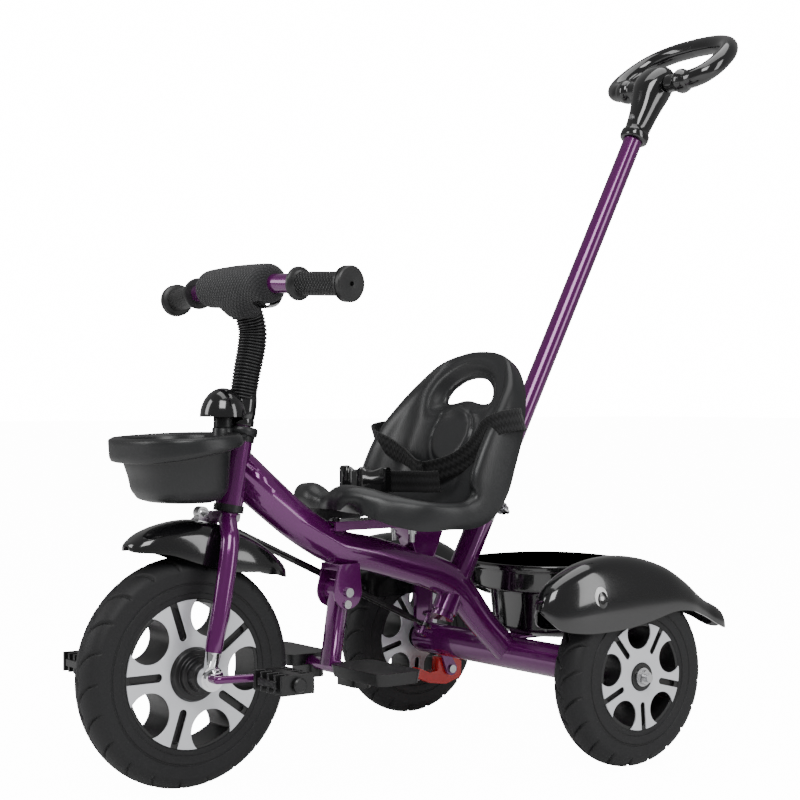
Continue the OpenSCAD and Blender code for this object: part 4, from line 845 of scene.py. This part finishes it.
def patch(name, side, yc, zc, a, b, mat, lift):
    """An oval disc laid on a rear fender."""
    rings = []
    for r in (0.1, 0.5, 0.9, 1.0):
        q = np.linspace(0, 2 * math.pi, 40, endpoint=False)
        raised = np.array([side * lift * (1 if r < 1 else 0.3), 0, 0])
        rings.append([fender_surface(yc + a * r * math.cos(k), zc + b * r * math.sin(k), side) + raised
                      for k in q])
    return loft(name, rings, mat, "frame")


for side, tag in ((1, "left"), (-1, "right")):
    patch(f"eye_white_{tag}", side, 410, 208, 9.2, 11.5, "eye_white", 0.6)
    patch(f"eye_dark_{tag}", side, 411.6, 204.6, 7.6, 9.8, "gloss_black", 0.9)
    patch(f"eye_glint_{tag}", side, 410.6, 206.2, 2.5, 2.8, "eye_white", 1.2)


# ---------------------------------------------------------------- push handle and neck
def handle():
    """The push handle's oval loop: half of it is [across, away from the hinge, radius], then mirrored."""
    up = math.radians(37)
    pts = [[28.5, 0, 12.5], [42, 0, 12.5], [46, 0, 15], [52, 0, 17], [58, 0, 15.5], [63, 1, 13.2],
           [72, 3, 13], [84, 11, 13], [90, 27, 13], [90, 46, 13], [84, 70, 13], [68, 91, 13],
           [38, 104, 13], [0, 108, 13]]
    h = curve([[p[0], p[1] * math.cos(up), p[1] * math.sin(up), p[2], p[2]] for p in pts], 10)
    rest = h[-2::-1] * np.array([-1, 1, 1, 1, 1])
    rings = hoops(np.concatenate([h, rest]), ref=(0, -math.sin(up), math.cos(up)), n=48)
    rings = rings + pole(0, 0, HANDLE_AT)
    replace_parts(loft("handle_look", rings, "gloss_black", "handle", angle=60), "push_handle")


handle()


def clamp_bolt():
    """The end of the pole's clamp bolt, with its washer and nut behind the pole."""
    rows = [[0, 16], [3, 16], [3, 24], [8.5, 24], [8.5, 25.8], [6.6, 25.8], [6.6, 31.5], [3, 31.5], [3, 37],
            [2.2, 38], [0, 38]]
    rearward = pole(0, 1, 0) - pole(0, 0, 0)
    turned("clamp_bolt", rows, "chrome", NODES["pole_collar"]["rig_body"], pole(0, 0, 178), rearward, 48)


clamp_bolt()


# ---------------------------------------------------------------- stage, light, camera
def shown_white(tree, shown, lit):
    """A strength that is shown to the camera as a bright white, and lights the scene more gently."""
    path = tree.nodes.new("ShaderNodeLightPath")
    return math_node(tree, "MULTIPLY_ADD", path.outputs["Is Camera Ray"], shown - lit, lit)


def floor():
    bm = bmesh.new()
    bmesh.ops.create_grid(bm, x_segments=1, y_segments=1, size=30)
    bmesh.ops.translate(bm, verts=bm.verts, vec=(0, 0, -0.0005))
    mesh = bpy.data.meshes.new("floor")
    bm.to_mesh(mesh)
    bm.free()
    obj = bpy.data.objects.new("floor", mesh)
    bpy.context.collection.objects.link(obj)
    m = bpy.data.materials.new("floor")
    m.use_nodes = True
    shader = m.node_tree.nodes["Principled BSDF"]
    shader.inputs["Base Color"].default_value = (0.85, 0.85, 0.85, 1)
    shader.inputs["Roughness"].default_value = 0.9
    shader.inputs["Emission Color"].default_value = (1, 1, 1, 1)
    m.node_tree.links.new(shown_white(m.node_tree, 14.0, 0.05), shader.inputs["Emission Strength"])
    mesh.materials.append(m)


floor()


def lamp(name, at, to, size, power, color=(1, 1, 1)):
    data = bpy.data.lights.new(name, "AREA")
    data.shape, data.size, data.size_y, data.energy, data.color = "RECTANGLE", size[0], size[1], power, color
    o = bpy.data.objects.new(name, data)
    bpy.context.collection.objects.link(o)
    o.location = at
    o.rotation_mode = "QUATERNION"
    o.rotation_quaternion = (Vector(to) - Vector(at)).to_track_quat("-Z", "Y")
    return o


lamp("key", (2.0, -1.6, 2.6), (0, 0, 0.35), (1.6, 1.6), 70)
lamp("left", (2.6, 1.4, 1.4), (0, 0, 0.35), (0.9, 2.2), 26)
lamp("front", (-1.4, -2.6, 1.6), (0, 0, 0.35), (1.0, 2.0), 30)
lamp("top", (0, 0.2, 3.2), (0, 0, 0.3), (2.5, 2.5), 40)

sky = bpy.data.worlds.new("sky")
bpy.context.scene.world = sky
sky.use_nodes = True
sky.node_tree.nodes["Background"].inputs[0].default_value = (1, 1, 1, 1)
sky.node_tree.links.new(shown_white(sky.node_tree, 16.0, 0.26), sky.node_tree.nodes["Background"].inputs[1])


def camera():
    """The main camera, at the tricycle's front left and level with a point 0.435 m up."""
    azimuth, elevation, distance = math.radians(53.3526), math.radians(0.0096), 2.0494
    target = Vector((0.0039, 0.30 - MID / 1000, 0.4351))
    back = Vector((math.sin(azimuth) * math.cos(elevation), -math.cos(azimuth) * math.cos(elevation),
                   math.sin(elevation)))
    right = Vector((math.cos(azimuth), math.sin(azimuth), 0))
    up, at = back.cross(right), target + back * distance
    data = bpy.data.cameras.new("main_view")
    data.sensor_width, data.lens, data.clip_start = 36, 75.0321, 0.01
    obj = bpy.data.objects.new("main_view", data)
    bpy.context.collection.objects.link(obj)
    obj.matrix_world = Matrix(((right.x, up.x, back.x, at.x), (right.y, up.y, back.y, at.y),
                               (right.z, up.z, back.z, at.z), (0, 0, 0, 1)))
    bpy.context.scene.camera = obj


camera()
